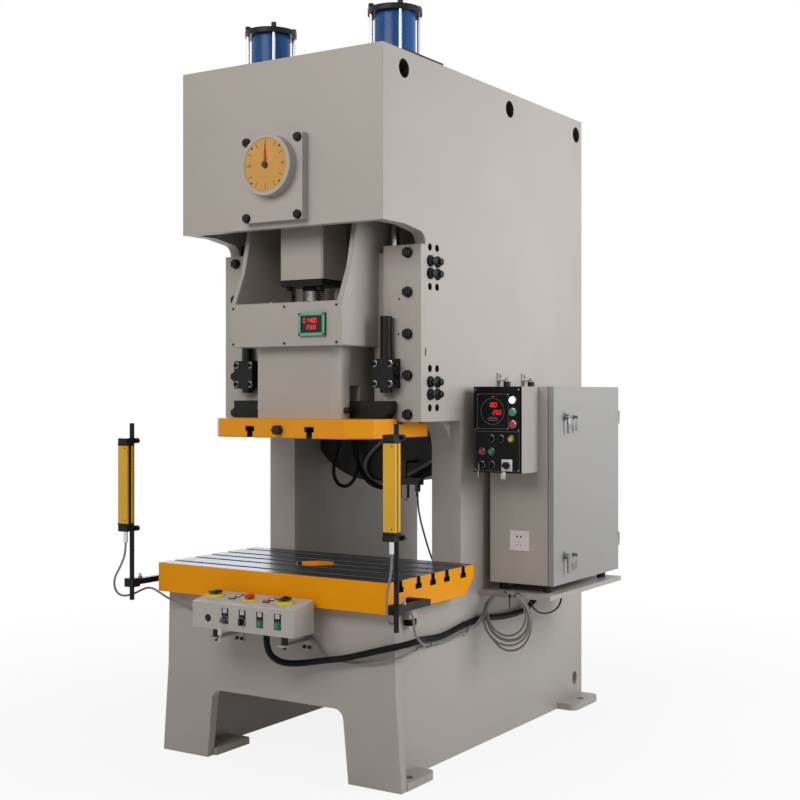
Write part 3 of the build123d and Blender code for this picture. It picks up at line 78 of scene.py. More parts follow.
def shader_of(material):
    return material.node_tree.nodes["Principled BSDF"]


def new_finish(name, base, roughness, metallic=0.0, gloss=0.5, clouds=None, patches=None,
               bump=None):
    """A material with a colour, a roughness and a gloss, and with what varies them."""
    material = bpy.data.materials.new(name)
    material.use_nodes = True
    shader = shader_of(material)
    shader.inputs["Base Color"].default_value = colour(*base)
    shader.inputs["Roughness"].default_value = roughness
    shader.inputs["Metallic"].default_value = metallic
    shader.inputs["Specular IOR Level"].default_value = gloss
    if clouds:
        mottle(material, *clouds)
    if patches:
        rough_patches(material, *patches)
    if bump:
        grain(material, *bump)
    return material


def node(material, kind, values=None, **settings):
    """Adds a shader node, sets its properties, and fills or links its inputs."""
    made = material.node_tree.nodes.new(kind)
    for setting, value in settings.items():
        setattr(made, setting, value)
    for name, value in (values or {}).items():
        if isinstance(value, bpy.types.NodeSocket):
            material.node_tree.links.new(value, made.inputs[name])
        else:
            made.inputs[name].default_value = value
    return made


def feed(material, output, socket_name):
    """Links a node's output into the shader."""
    material.node_tree.links.new(output, shader_of(material).inputs[socket_name])


def object_place(material):
    return node(material, "ShaderNodeTexCoord").outputs["Object"]


def mottle(material, scale, spread):
    """Lets the base colour drift lighter and darker in soft clouds."""
    base = shader_of(material).inputs["Base Color"].default_value[:]
    cloud = node(material, "ShaderNodeTexNoise",
                 {"Vector": object_place(material), "Scale": scale, "Detail": 3.0})
    ramp = node(material, "ShaderNodeValToRGB", {"Fac": cloud.outputs["Fac"]})
    low, high = ramp.color_ramp.elements
    low.position, high.position = 0.3, 0.7
    low.color = (*[value * (1 - spread) for value in base[:3]], 1)
    high.color = (*[min(value * (1 + spread), 1) for value in base[:3]], 1)
    feed(material, ramp.outputs["Color"], "Base Color")


def rough_patches(material, scale, low, high):
    """Lets the gloss vary, as handling and dust make it."""
    cloud = node(material, "ShaderNodeTexNoise",
                 {"Vector": object_place(material), "Scale": scale, "Detail": 4.0})
    spread = node(material, "ShaderNodeMapRange",
                  {"Value": cloud.outputs["Fac"], "From Min": 0.3, "From Max": 0.7,
                   "To Min": low, "To Max": high})
    feed(material, spread.outputs["Result"], "Roughness")


def grain(material, scale, height, edge=0.0, stretch=(1, 1, 1)):
    """A fine bump, stretched where the tool's marks run one way, on slightly eased edges."""
    mapping = node(material, "ShaderNodeMapping",
                   {"Vector": object_place(material), "Scale": stretch})
    noise = node(material, "ShaderNodeTexNoise",
                 {"Vector": mapping.outputs["Vector"], "Scale": scale, "Detail": 2.0})
    bump = node(material, "ShaderNodeBump",
                {"Height": noise.outputs["Fac"], "Distance": height, "Strength": 0.6})
    if edge:
        eased = node(material, "ShaderNodeBevel", {"Radius": edge}, samples=4)
        material.node_tree.links.new(eased.outputs["Normal"], bump.inputs["Normal"])
    feed(material, bump.outputs["Normal"], "Normal")


def lay_cord(name, route, thickness, material, nodes):
    """One cord: a smooth spline through listed points (x, depth, height)."""
    line = bpy.data.curves.new(name, "CURVE")
    line.dimensions = "3D"
    line.bevel_depth = thickness / 2
    line.bevel_resolution = 5
    line.use_fill_caps = True
    spline = line.splines.new("NURBS")
    spline.points.add(len(route) - 1)
    for point, place in zip(spline.points, route):
        point.co = (*at(*place), 1)
    spline.order_u = 3
    spline.use_endpoint_u = True
    spline.resolution_u = 8
    line.materials.append(material)
    cord = show(bpy.data.objects.new(name, line))
    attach(cord, "frame")
    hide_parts(*nodes)


grey_sheath = new_finish("grey_sheath", (128, 126, 126), 0.45, clouds=(30, 0.10),
                         bump=(900, 0.0002))
black_sheath = new_finish("black_sheath", (10, 10, 11), 0.42, gloss=0.15,
                          clouds=(25, 0.25), bump=(800, 0.0002))
black_rubber = new_finish("black_rubber", (11, 10, 10), 0.6, gloss=0.12,
                          clouds=(12, 0.25), bump=(500, 0.0004))
blue_nylon = new_finish("blue_nylon", (22, 36, 140), 0.25, clouds=(40, 0.15))

conduit_rings = new_finish("conduit_rings", (8, 8, 9), 0.5, gloss=0.12)
along = node(conduit_rings, "ShaderNodeTexCoord").outputs["UV"]
rings = node(conduit_rings, "ShaderNodeTexWave",
             {"Vector": along, "Scale": 130.0, "Distortion": 0.0},
             wave_type="BANDS", bands_direction="X")
ring_bump = node(conduit_rings, "ShaderNodeBump",
                 {"Height": rings.outputs["Fac"], "Distance": 0.002, "Strength": 0.8})
feed(conduit_rings, ring_bump.outputs["Normal"], "Normal")

lay_cord("control_conduit", [
    (0.066, -0.158, 0.572), (0.066, -0.158, 0.520), (0.086, -0.139, 0.476), (0.124, -0.104, 0.455),
    (0.184, -0.062, 0.458), (0.262, -0.053, 0.474), (0.350, -0.051, 0.490), (0.430, -0.047, 0.512),
    (0.500, -0.045, 0.533), (0.560, -0.042, 0.550), (0.600, -0.020, 0.560), (0.622, 0.020, 0.566),
    (0.620, 0.070, 0.566), (0.596, 0.124, 0.558), (0.560, 0.182, 0.548), (0.528, 0.246, 0.535),
    (0.518, 0.322, 0.526), (0.518, 0.430, 0.519), (0.519, 0.590, 0.541), (0.518, 0.760, 0.547),
    (0.519, 0.920, 0.526), (0.520, 1.080, 0.520), (0.526, 1.160, 0.532), (0.540, 1.216, 0.566),
    (0.548, 1.238, 0.610), (0.548, 1.238, 0.661),
], 0.025, conduit_rings, ["conduit"])

# The spare cable hangs in a coil in front of the shelf: two turns of each curtain's cable, and one
# longer loop of the left one.
coil_x, coil_height, coil_top, coil_front = 0.654, 0.568, 0.674, 0.7145
turn_points = 12


def coil_turns(radii, first_depth, pitch):
    """Turns of different sizes that meet where they are tied, at the top, and fan out below."""
    turns = []
    for step in range(1, len(radii) * turn_points + 1):
        angle = radians(180 - 360 * step / turn_points)
        radius = radii[(step - 1) // turn_points]
        depth = first_depth + pitch * step / turn_points
        middle = coil_top - radius
        turns.append((coil_x + radius * cos(angle), depth, middle + radius * sin(angle)))
    return turns


def long_loop(radius, drop, depth):
    """A last turn that hangs lower than the others by `drop`."""
    loop = []
    for step in range(1, turn_points):
        angle = radians(180 - 360 * step / turn_points)
        sag = drop * (1 - sin(angle)) / 2
        loop.append((coil_x + radius * cos(angle), depth, coil_height + radius * sin(angle) - sag))
    return loop


left_run = [
    (-0.660, -0.180, 0.889), (-0.660, -0.180, 0.842), (-0.686, -0.184, 0.786),
    (-0.722, -0.184, 0.736), (-0.724, -0.180, 0.686), (-0.702, -0.160, 0.656),
    (-0.676, -0.112, 0.664), (-0.636, -0.096, 0.688), (-0.592, -0.096, 0.696),
    (-0.554, -0.088, 0.676), (-0.530, -0.062, 0.650), (-0.492, -0.030, 0.630),
    (-0.400, -0.027, 0.603), (-0.290, -0.027, 0.580), (-0.180, -0.027, 0.566),
    (-0.070, -0.027, 0.560), (0.045, -0.027, 0.557), (0.122, -0.027, 0.557),
    (0.180, -0.028, 0.557), (0.216, -0.028, 0.528), (0.246, -0.027, 0.492),
    (0.300, -0.027, 0.475), (0.390, -0.027, 0.470), (0.480, -0.028, 0.483),
    (0.556, -0.032, 0.504), (0.604, -0.016, 0.520), (0.620, 0.026, 0.530), (0.606, 0.080, 0.528),
    (0.572, 0.136, 0.517), (0.530, 0.204, 0.507), (0.511, 0.290, 0.498), (0.510, 0.380, 0.491),
    (0.510, 0.480, 0.492), (0.510, 0.570, 0.500), (0.513, 0.640, 0.510), (0.528, 0.690, 0.522),
    (0.553, 0.7145, 0.562),
]
left_coil = coil_turns((0.094, 0.104), coil_front, 0.0095) + long_loop(0.110, 0.040, 0.7435)
lay_cord("left_curtain_cable", left_run + left_coil, 0.009, grey_sheath,
         ["curtain_cable_left", "cable_coil"])
right_run = [
    (0.660, -0.180, 0.926), (0.660, -0.180, 0.878), (0.652, -0.182, 0.824), (0.641, -0.184, 0.770),
    (0.641, -0.186, 0.718), (0.641, -0.176, 0.676), (0.638, -0.138, 0.660), (0.634, -0.098, 0.676),
    (0.632, -0.062, 0.702), (0.635, -0.026, 0.704), (0.640, -0.002, 0.674), (0.642, 0.004, 0.636),
    (0.643, 0.008, 0.600), (0.648, 0.044, 0.566), (0.634, 0.094, 0.546), (0.590, 0.150, 0.532),
    (0.546, 0.212, 0.521), (0.524, 0.280, 0.507), (0.523, 0.350, 0.503), (0.523, 0.430, 0.500),
    (0.523, 0.520, 0.503), (0.524, 0.610, 0.512), (0.532, 0.676, 0.531), (0.543, 0.716, 0.566),
]
lay_cord("right_curtain_cable", right_run + coil_turns((0.115, 0.106), 0.716, 0.0085),
         0.009, grey_sheath, ["curtain_cable_right"])

lay_cord("cabinet_lead", [
    (0.600, 1.376, 0.661), (0.600, 1.376, 0.612), (0.601, 1.372, 0.562), (0.602, 1.344, 0.526),
    (0.602, 1.290, 0.510), (0.601, 1.220, 0.507), (0.600, 1.150, 0.518), (0.599, 1.086, 0.546),
    (0.598, 1.044, 0.590), (0.598, 1.044, 0.661),
], 0.008, black_sheath, ["cabinet_cable"])
lay_cord("air_line", [
    (0.228, 0.700, 1.080), (0.228, 0.700, 1.026), (0.240, 0.700, 0.962), (0.264, 0.700, 0.886),
    (0.290, 0.700, 0.814), (0.320, 0.700, 0.752), (0.351, 0.700, 0.714), (0.351, 0.700, 0.668),
], 0.008, blue_nylon, ["air_tube"])
lay_cord("clutch_hose", [
    (-0.158, 0.760, 1.420), (-0.158, 0.760, 1.330), (-0.146, 0.760, 1.236), (-0.114, 0.760, 1.150),
    (-0.050, 0.760, 1.092), (0.036, 0.760, 1.084), (0.124, 0.760, 1.108), (0.210, 0.762, 1.152),
    (0.290, 0.766, 1.196), (0.350, 0.766, 1.196),
], 0.022, black_rubber, ["main_hose"])
lay_cord("brake_hose", [
    (-0.205, 0.735, 1.420), (-0.205, 0.735, 1.340), (-0.224, 0.735, 1.262), (-0.244, 0.735, 1.190),
    (-0.248, 0.735, 1.136), (-0.224, 0.735, 1.092), (-0.176, 0.735, 1.082), (-0.134, 0.735, 1.112),
    (-0.114, 0.735, 1.168), (-0.116, 0.735, 1.250), (-0.128, 0.735, 1.336), (-0.128, 0.735, 1.420),
], 0.016, black_rubber, ["loop_hose"])
lay_cord("grey_throat_hose", [
    (0.040, 0.781, 1.420), (0.040, 0.781, 1.352), (-0.006, 0.781, 1.296), (-0.072, 0.781, 1.244),
    (-0.112, 0.781, 1.184), (-0.086, 0.781, 1.124), (-0.026, 0.781, 1.104), (0.050, 0.781, 1.118),
    (0.135, 0.781, 1.150), (0.215, 0.781, 1.190), (0.288, 0.781, 1.232), (0.350, 0.781, 1.232),
], 0.018, grey_sheath, ["grey_hose"])


# The welded frame: thick flame-cut plates under a warm grey enamel with a faint orange peel, and
# the same paint on the gibs, the bearing cover, the feet and the slide.
def dress(material, *names):
    """Puts a finish on CAD pieces."""
    for name in names:
        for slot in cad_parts[name].material_slots:
            slot.material = material


def enamel(name, base, roughness=0.40, edge=0.0025, clouds=(1.6, 0.045), gloss=0.35):
    """Sprayed paint: faint clouds of colour, uneven gloss and orange peel, on eased edges."""
    uneven = (3.0, roughness - 0.05, roughness + 0.07)
    return new_finish(name, base, roughness, gloss=gloss, clouds=clouds, patches=uneven,
                      bump=(150, 0.0011, edge))


def numbers(material, operation, *values):
    """One sum on numbers, done by a node."""
    made = node(material, "ShaderNodeMath", dict(enumerate(values)), operation=operation)
    return made.outputs[0]


def vectors(material, operation, *values):
    """One sum on vectors, done by a node."""
    made = node(material, "ShaderNodeVectorMath", dict(enumerate(values)), operation=operation)
    return made.outputs["Value" if operation == "LENGTH" else "Vector"]


def box_mask(material, x, depth, z):
    """1 inside a box of the object, 0 outside it."""
    low, high = at(x[0], depth[0], z[0]), at(x[1], depth[1], z[1])
    offset = vectors(material, "SUBTRACT", object_place(material), (low + high) / 2)
    away = vectors(material, "ABSOLUTE", offset)
    share = vectors(material, "DIVIDE", away, (high - low) / 2)
    parts = node(material, "ShaderNodeSeparateXYZ", {0: share}).outputs
    wide = numbers(material, "MAXIMUM", parts[0], parts[1])
    widest = numbers(material, "MAXIMUM", wide, parts[2])
    return numbers(material, "LESS_THAN", widest, 1.0)


def ring_mask(material, axis, center, radii):
    """1 between two radii about a line along X, Y or Z, 0 elsewhere."""
    across = Vector((axis != "X", axis != "Y", axis != "Z"))
    offset = vectors(material, "SUBTRACT", object_place(material), at(*center))
    away = vectors(material, "LENGTH", vectors(material, "MULTIPLY", offset, across))
    inside = numbers(material, "LESS_THAN", away, radii[1])
    outside = numbers(material, "GREATER_THAN", away, radii[0])
    return numbers(material, "MULTIPLY", inside, outside)


def coat_over(material, mask, base, roughness, metallic=0.0):
    """Lays another finish over the material where the mask is 1."""
    tree = material.node_tree
    shader = shader_of(material)
    coat = {"Base Color": colour(*base), "Roughness": roughness, "Metallic": metallic}
    for socket_name, value in coat.items():
        socket = shader.inputs[socket_name]
        # A Mix node keeps its own sockets for each type of value.
        kind, first, second, mixed = (("RGBA", 6, 7, 2) if socket_name == "Base Color"
                                      else ("FLOAT", 2, 3, 0))
        mix = node(material, "ShaderNodeMix", data_type=kind)
        tree.links.new(mask, mix.inputs["Factor"])
        if socket.is_linked:
            tree.links.new(socket.links[0].from_socket, mix.inputs[first])
        else:
            mix.inputs[first].default_value = socket.default_value
        mix.inputs[second].default_value = value
        tree.links.new(mix.outputs[mixed], socket)


def coat_box(material, x, depth, z, base, roughness, metallic=0.0):
    """Lays another finish over the part of the piece that is inside a box."""
    coat_over(material, box_mask(material, x, depth, z), base, roughness, metallic)


def coat_round(material, axis, center, radii, box, base, roughness, metallic=0.0):
    """Lays another finish over the part of a box that is between two radii about a line."""
    ring = ring_mask(material, axis, center, radii)
    mask = numbers(material, "MULTIPLY", ring, box_mask(material, *box))
    coat_over(material, mask, base, roughness, metallic)


press_grey = (176, 170, 164)
frame_enamel = enamel("frame_enamel", press_grey)
dress(frame_enamel, "head_front_plate", "base_front_plate", "cross_plates", "gibs",
      "bearing_cover", "connecting_rod")
side_enamel = enamel("side_enamel", press_grey)
# Inside two boxes the side plates are coloured near-black on all but their outer face: painted
# shade on the walls of the openings there, which lead into the dark inside of the frame.
plate_opening_shade = (46, 43, 40)
for depth, z in (((0.325, 0.425), (1.40, 2.16)), ((0.10, 1.80), (2.735, 2.825))):
    coat_box(side_enamel, (-0.5032, 0.5032), depth, z, plate_opening_shade, 0.7)
dress(side_enamel, "left_side_plate", "right_side_plate")
dress(enamel("feet_enamel", press_grey, 0.48, clouds=(9, 0.12)), "anchor_feet")

# Small drilled holes in the right gib and side plate, left open from the machining: deep and
# narrow, they are drawn as flat near-black discs and a patch, painted shade for their insides.
hole_shade_black = new_finish("painted_hole_shade", (10, 9, 9), 0.8, gloss=0.1, clouds=(60, 0.3))


def ease(shape, lines, edge):
    """Rounds edges off, each of them once."""
    bmesh.ops.bevel(shape, geom=list(dict.fromkeys(lines)), offset=edge, segments=2,
                    profile=0.5, affect="EDGES", material=-1, clamp_overlap=True)


def add_rod(shape, direction, start, radius, length, sides=32, edge=0.0, tip=None):
    """A round or many-sided bar from its start (x, depth, z) along an axis, with eased rims."""
    axis = {"X": Vector((1, 0, 0)), "-X": Vector((-1, 0, 0)), "Y": Vector((0, 1, 0)),
            "-Y": Vector((0, -1, 0)), "Z": Vector((0, 0, 1)), "-Z": Vector((0, 0, -1))}[direction]
    turn = axis.to_track_quat("Z", "Y").to_matrix().to_4x4()
    place = Matrix.Translation(at(*start) + axis * length / 2) @ turn
    end_radius = radius if tip is None else tip
    made = bmesh.ops.create_cone(shape, cap_ends=True, segments=sides, radius1=radius,
                                 radius2=end_radius, depth=length, matrix=place)
    if edge:
        rims = [rim for vert in made["verts"] for rim in vert.link_edges
                if any(len(face.verts) == sides for face in rim.link_faces)]
        ease(shape, rims, edge)


def add_box(shape, place, size):
    """A box of this size, put where the matrix says."""
    return bmesh.ops.create_cube(shape, size=1, matrix=place @ Matrix.Diagonal((*size, 1)))


def add_block(shape, x, depth, z, edge=0.0):
    """A block between two x, two depths and two heights, with eased edges."""
    size = Vector((x[1] - x[0], depth[1] - depth[0], z[1] - z[0]))
    middle = Matrix.Translation(at(sum(x) / 2, sum(depth) / 2, sum(z) / 2))
    made = add_box(shape, middle, size)
    if edge:
        ease(shape, [line for vert in made["verts"] for line in vert.link_edges], edge)


def add_piece(name, shape, material, body="frame", stands_for=()):
    """Turns a finished shape into a piece that rides on a body."""
    mesh = bpy.data.meshes.new(name)
    bmesh.ops.recalc_face_normals(shape, faces=shape.faces)
    shape.to_mesh(mesh)
    shape.free()
    mesh.shade_smooth()
    mesh.set_sharp_from_angle(angle=radians(35))
    mesh.materials.append(material)
    piece = show(bpy.data.objects.new(name, mesh))
    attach(piece, body)
    if stands_for:
        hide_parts(*stands_for)


gib_face = 0.278
plate_face = 0.504
marks = bmesh.new()
for x, z in ((0.400, 1.890), (0.397, 1.749)):
    add_rod(marks, "-Y", (x, gib_face, z), 0.0045, 0.0008, sides=16)
add_block(marks, (plate_face, plate_face + 0.0008), (0.309, 0.316), (1.661, 1.692))
add_piece("drilled_marks", marks, hole_shade_black)

# Hex bolts: forged, blackened heads with a chamfered crown on a washer. They hold the gibs, the
# bearing cover and, with lock nuts and set screws, the guides through the side plates.
black_oxide = new_finish("black_oxide", (15, 15, 15), 0.38, 0.2, 0.25, clouds=(45, 0.25),
                         patches=(60, 0.30, 0.48), bump=(420, 0.0003))


def add_bolt(shape, direction, start, across, height):
    """A hex head: washer, six-sided head and chamfered crown."""
    sign = -1 if direction.startswith("-") else 1
    axis = "XYZ".index(direction[-1])
    washer = across * 0.09
    add_rod(shape, direction, start, across * 0.60, washer, edge=washer * 0.3)
    seat = list(start)
    seat[axis] += sign * washer
    add_rod(shape, direction, seat, across * 0.577, height * 0.80 - washer, sides=6,
            edge=across * 0.02)
    crown = list(start)
    crown[axis] += sign * (height * 0.80 - 0.0004)
    add_rod(shape, direction, crown, across * 0.50, height * 0.20, sides=24, tip=across * 0.40)


bolts = bmesh.new()
for x in (-0.443, 0.443):
    for z in (2.075, 1.917, 1.749, 1.583, 1.425):
        add_bolt(bolts, "-Y", (x, gib_face, z), 0.036, 0.024)
for x in (-0.128, 0.128):
    for z in (2.216, 2.522):
        add_bolt(bolts, "-Y", (x, -0.038, z), 0.031, 0.016)
for side, direction in ((-1, "-X"), (1, "X")):
    for depth in (0.347, 0.403):
        for z in (2.044, 1.994, 1.556, 1.506):
            nut = side * (plate_face + 0.012)
            socket = side * (plate_face + 0.0255)
            add_bolt(bolts, direction, (side * plate_face, depth, z), 0.040, 0.015)
            add_rod(bolts, direction, (nut, depth, z), 0.014, 0.014, edge=0.002)
            add_rod(bolts, direction, (socket, depth, z), 0.007, 0.0008, sides=6)
add_piece("frame_hex_bolts", bolts, black_oxide, stands_for=["frame_bolts"])

# Stroke dial on the front bearing: an orange-yellow printed disc let into the drum, twelve
# graduations with plain angles, four small rim screws, and a red pointer on a black hub.
dial_yellow = new_finish("dial_yellow", (202, 154, 84), 0.35, gloss=0.2, clouds=(14, 0.04))
dress(dial_yellow, "dial_plate")
pointer_red = new_finish("pointer_red", (196, 26, 22), 0.35, clouds=(40, 0.10))
dial_height, dial_face, dial_rim = 2.417, -0.081, 0.100
hub = ring_mask(pointer_red, "Y", (0, 0, dial_height), (-1, 0.0135))
coat_over(pointer_red, hub, (24, 24, 24), 0.3)
dress(pointer_red, "dial_pointer")
dial_ink = new_finish("dial_ink", (96, 52, 28), 0.5, clouds=(80, 0.15))
dial_marks = bmesh.new()


def add_ray(shape, center, angle, inner, outer, width, thickness):
    """A printed stroke from one radius to another, turned about a dial's middle."""
    turn = Matrix.Translation(center) @ Matrix.Rotation(radians(angle), 4, "Y")
    place = turn @ Matrix.Translation((0, -0.0002, (inner + outer) / 2))
    add_box(shape, place, (width, thickness, outer - inner))


for hour in (0, 1, 2, 4, 5, 6, 7, 8, 10, 11):
    inner = 0.072 if hour % 3 == 0 else 0.078
    add_ray(dial_marks, at(0, dial_face, dial_height), 30 * hour, inner, dial_rim, 0.0026, 0.0005)
add_piece("dial_graduations", dial_marks, dial_ink)
rim_screws = bmesh.new()
for step in range(4):
    angle = radians(45 + 90 * step)
    place = (0.098 * cos(angle), dial_face, dial_height + 0.098 * sin(angle))
    add_rod(rim_screws, "-Y", place, 0.0042, 0.0015, sides=16, edge=0.0005)
add_piece("dial_screws", rim_screws, black_oxide)


def add_text(name, words, height, place, material):
    """Small flat lettering that faces the front, made a mesh before it is put in its place."""
    text = bpy.data.curves.new(name, "FONT")
    text.body = words
    text.size = height
    text.align_x = "CENTER"
    text.align_y = "CENTER"
    text.extrude = 0.0002
    holder = show(bpy.data.objects.new(name + "_text", text))
    bpy.context.view_layer.update()
    shown = holder.evaluated_get(bpy.context.evaluated_depsgraph_get())
    mesh = bpy.data.meshes.new_from_object(shown)
    bpy.data.objects.remove(holder)
    mesh.transform(Matrix.Translation(at(*place)) @ Matrix.Rotation(radians(90), 4, "X"))
    mesh.materials.clear()
    mesh.materials.append(material)
    piece = show(bpy.data.objects.new(name, mesh))
    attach(piece, "frame")


for words, x in (("90", 0.086), ("270", -0.084)):
    add_text("dial_angle_" + words, words, 0.016, (x, dial_face - 0.0002, dial_height),
             dial_ink)

# Air balance cylinders: blue enamelled barrels between blackened flanges, held by four bright tie
# rods with black nuts. Their chromed rods stand on the slide's wings.
cylinder_finish = enamel("cylinder_blue", (8, 78, 142), 0.22, gloss=0.25)
barrel = (2.8805, 3.066)
for z in ((barrel[1], 3.2), (2.7, barrel[0])):
    coat_box(cylinder_finish, (-0.6, 0.6), (0, 1), z, (22, 22, 24), 0.40, 0.2)
for x in (-0.323, 0.323):
    coat_round(cylinder_finish, "Z", (x, 0.368, 0), (0.0885, 0.13),
               ((x - 0.16, x + 0.16), (0.2, 0.55), barrel), (205, 207, 210), 0.18, 1.0)
dress(cylinder_finish, "balance_cylinders")
chrome = new_finish("hard_chrome", (176, 178, 180), 0.20, 1.0, clouds=(20, 0.04),
                    patches=(30, 0.10, 0.20))
dress(chrome, "balance_rods")

# Crank, gear, shaft and ball screw: turned and ground steel with a film of oil. The lock plate
# under the connecting rod is blackened, and the screw's thread shows bright below it.
turned_steel = new_finish("turned_steel", (168, 166, 162), 0.30, 1.0, clouds=(12, 0.12),
                          patches=(25, 0.22, 0.42), bump=(300, 0.0002, 0, (1, 12, 1)))
dress(turned_steel, "crankshaft", "pinion_shaft")
screw_steel = new_finish("screw_steel", (198, 198, 196), 0.24, 1.0, clouds=(18, 0.12))
height_along = node(screw_steel, "ShaderNodeTexWave",
                    {"Vector": object_place(screw_steel), "Scale": 34.0},
                    wave_type="BANDS", bands_direction="Z")
thread = node(screw_steel, "ShaderNodeBump",
              {"Height": height_along.outputs["Fac"], "Distance": 0.003, "Strength": 0.9})
feed(screw_steel, thread.outputs["Normal"], "Normal")
coat_box(screw_steel, (-0.2, 0.2), (0.1, 0.4), (1.9335, 2.0), (30, 29, 29), 0.38, 0.4)
dress(screw_steel, "ball_screw")
gear_steel = new_finish("gear_steel", (120, 116, 108), 0.38, 0.9, clouds=(10, 0.18),
                        bump=(200, 0.0004))
dress(gear_steel, "main_gear")

# Flywheel and pulley: grey iron castings with turned rims. The motor is finned iron under
# blue-grey paint, the belts are black rubber and the guard is dark painted sheet.
cast_iron = new_finish("cast_iron", (92, 90, 88), 0.55, 0.6, clouds=(14, 0.18),
                       bump=(260, 0.001))
dress(cast_iron, "flywheel", "motor_pulley")
dress(enamel("motor_enamel", (70, 92, 112), 0.42), "motor")
dress(black_rubber, "drive_belts")
dress(enamel("guard_sheet", (24, 22, 20), 0.55), "flywheel_guard")

# Slide: an iron casting in the frame's grey, its die flange in safety yellow with a machined face.
slide_enamel = enamel("slide_enamel", press_grey, edge=0.012)
safety_yellow = (238, 154, 4)
flange = ((-0.5, 0.5), (-0.1, 0.6))
coat_box(slide_enamel, *flange, (1.3305, 1.4085), safety_yellow, 0.38)
# The walls of the flange's two T-slots are coloured near-black: painted shade inside the slots.
for x in (-0.15, 0.15):
    coat_box(slide_enamel, (x - 0.0235, x + 0.0235), (0.008, 0.499), (1.32, 1.377),
             (40, 36, 32), 0.6, 0.4)
coat_box(slide_enamel, *flange, (1.32, 1.3305), (150, 148, 145), 0.3, 1.0)
dress(slide_enamel, "slide")

# Slide cover: a bent sheet with six small screws, and the stroke counter let into it, green-framed
# with red figures. The shank clamp bolt and the bar's two knobs are blackened steel.
cover_enamel = enamel("cover_enamel", press_grey)
coat_box(cover_enamel, (0.07, 0.22), (0.02, 0.0425), (1.73, 1.84), (12, 12, 12), 0.25)
coat_box(cover_enamel, (-0.3, 0.3), (-0.05, 0.3), (1.3, 1.5), (34, 33, 32), 0.35, 0.5)
for x in (-0.265, 0, 0.258):
    for z in (1.712, 1.860):
        coat_round(cover_enamel, "Y", (x, 0, z), (-1, 0.0052),
                   ((-0.3, 0.3), (0.03, 0.0425), (1.6, 1.9)), (30, 30, 30), 0.35, 0.5)
dress(cover_enamel, "slide_cover")
counter_green = new_finish("counter_green", (92, 168, 138), 0.4, clouds=(30, 0.06),
                           bump=(600, 0.0001))
counter_front = 0.033
counter_x, counter_z = (0.079, 0.208), (1.739, 1.832)
bezel = bmesh.new()
rail = 0.012
for low in (counter_z[1] - rail, counter_z[0]):
    add_block(bezel, counter_x, (counter_front - 0.004, counter_front), (low, low + rail), 0.001)
for left in (counter_x[0], counter_x[1] - rail):
    add_block(bezel, (left, left + rail), (counter_front - 0.0039, counter_front),
              (counter_z[0] + 0.006, counter_z[1] - 0.006), 0.001)
add_piece("counter_bezel", bezel, counter_green, body="slide")
counter_screws = bmesh.new()
for x in (counter_x[0] + 0.006, counter_x[1] - 0.006):
    for z in (counter_z[0] + 0.006, counter_z[1] - 0.006):
        add_rod(counter_screws, "-Y", (x, counter_front - 0.004, z), 0.0042, 0.002, sides=20,
                edge=0.0006)
add_piece("counter_screws", counter_screws, black_oxide, body="slide")

segment_sets = {"0": "abcdef", "1": "bc", "2": "abdeg", "3": "abcdg", "4": "bcfg", "5": "acdfg",
                "6": "acdefg", "7": "abc", "8": "abcdefg", "9": "abcdfg"}


def add_figures(shape, figures, left, depth, base, height):
    """A row of seven-bar figures, leaning a little, standing on its base line."""
    width = height * 0.56
    bar = height * 0.13
    for place, figure in enumerate(figures):
        x = left + place * width * 1.45
        spots = {"a": (0.5, 1.0, 1), "b": (1.0, 0.75, 0), "c": (1.0, 0.25, 0), "d": (0.5, 0.0, 1),
                 "e": (0.0, 0.25, 0), "f": (0.0, 0.75, 0), "g": (0.5, 0.5, 1)}
        for part in segment_sets[figure]:
            across, up, flat = spots[part]
            wide, high = (width - bar, bar) if flat else (bar, height / 2 - bar)
            middle = x + across * width + up * height * 0.08
            level = base + up * height
            add_block(shape, (middle - wide / 2, middle + wide / 2), (depth - 0.0006, depth),
                      (level - high / 2, level + high / 2))


lit_red = new_finish("lit_red", (255, 44, 40), 0.4, clouds=(200, 0.08))
shader_of(lit_red).inputs["Emission Color"].default_value = colour(255, 40, 40)
shader_of(lit_red).inputs["Emission Strength"].default_value = 0.9
counter_figures = bmesh.new()
add_figures(counter_figures, "01480", 0.101, counter_front, 1.792, 0.017)
add_figures(counter_figures, "2560", 0.118, counter_front, 1.766, 0.015)
add_piece("counter_figures", counter_figures, lit_red, body="slide")

bright_zinc = new_finish("bright_zinc", (166, 166, 164), 0.27, 1.0, clouds=(50, 0.10),
                         patches=(80, 0.18, 0.36))
deck_screws = bmesh.new()
for x, depth in ((-0.135, 0.128), (0.083, 0.150)):
    add_rod(deck_screws, "Z", (x, depth, 1.878), 0.009, 0.005, sides=24, edge=0.0015)
    add_rod(deck_screws, "Z", (x, depth, 1.883), 0.0065, 0.004, sides=6, edge=0.001)
add_piece("deck_screws", deck_screws, bright_zinc, body="slide")

# Knock-out bar and its stops: blackened steel. Each clamp is split and closed by four socket
# screws with bright washers, and three bolts in its outer side hold it to the slide's arm.
dress(black_oxide, "knock_out_bar", "knock_out_stops")
clamp_front = 0.218
clamp_washers, clamp_screws, clamp_sockets = bmesh.new(), bmesh.new(), bmesh.new()
for side in (-1, 1):
    for x in (0.3205, 0.3935):
        for z in (1.549, 1.630):
            add_rod(clamp_washers, "-Y", (side * x, clamp_front, z), 0.0130, 0.002, edge=0.0006)
            add_rod(clamp_screws, "-Y", (side * x, clamp_front - 0.002, z), 0.0106, 0.008,
                    edge=0.0015)
            add_rod(clamp_sockets, "-Y", (side * x, clamp_front - 0.0098, z), 0.0050, 0.0004,
                    sides=6)
for z in (1.556, 1.590, 1.624):
    add_rod(clamp_screws, "-X", (-0.406, 0.246, z), 0.013, 0.014, edge=0.002)
    add_rod(clamp_screws, "X", (0.406, 0.246, z), 0.009, 0.008, edge=0.002)
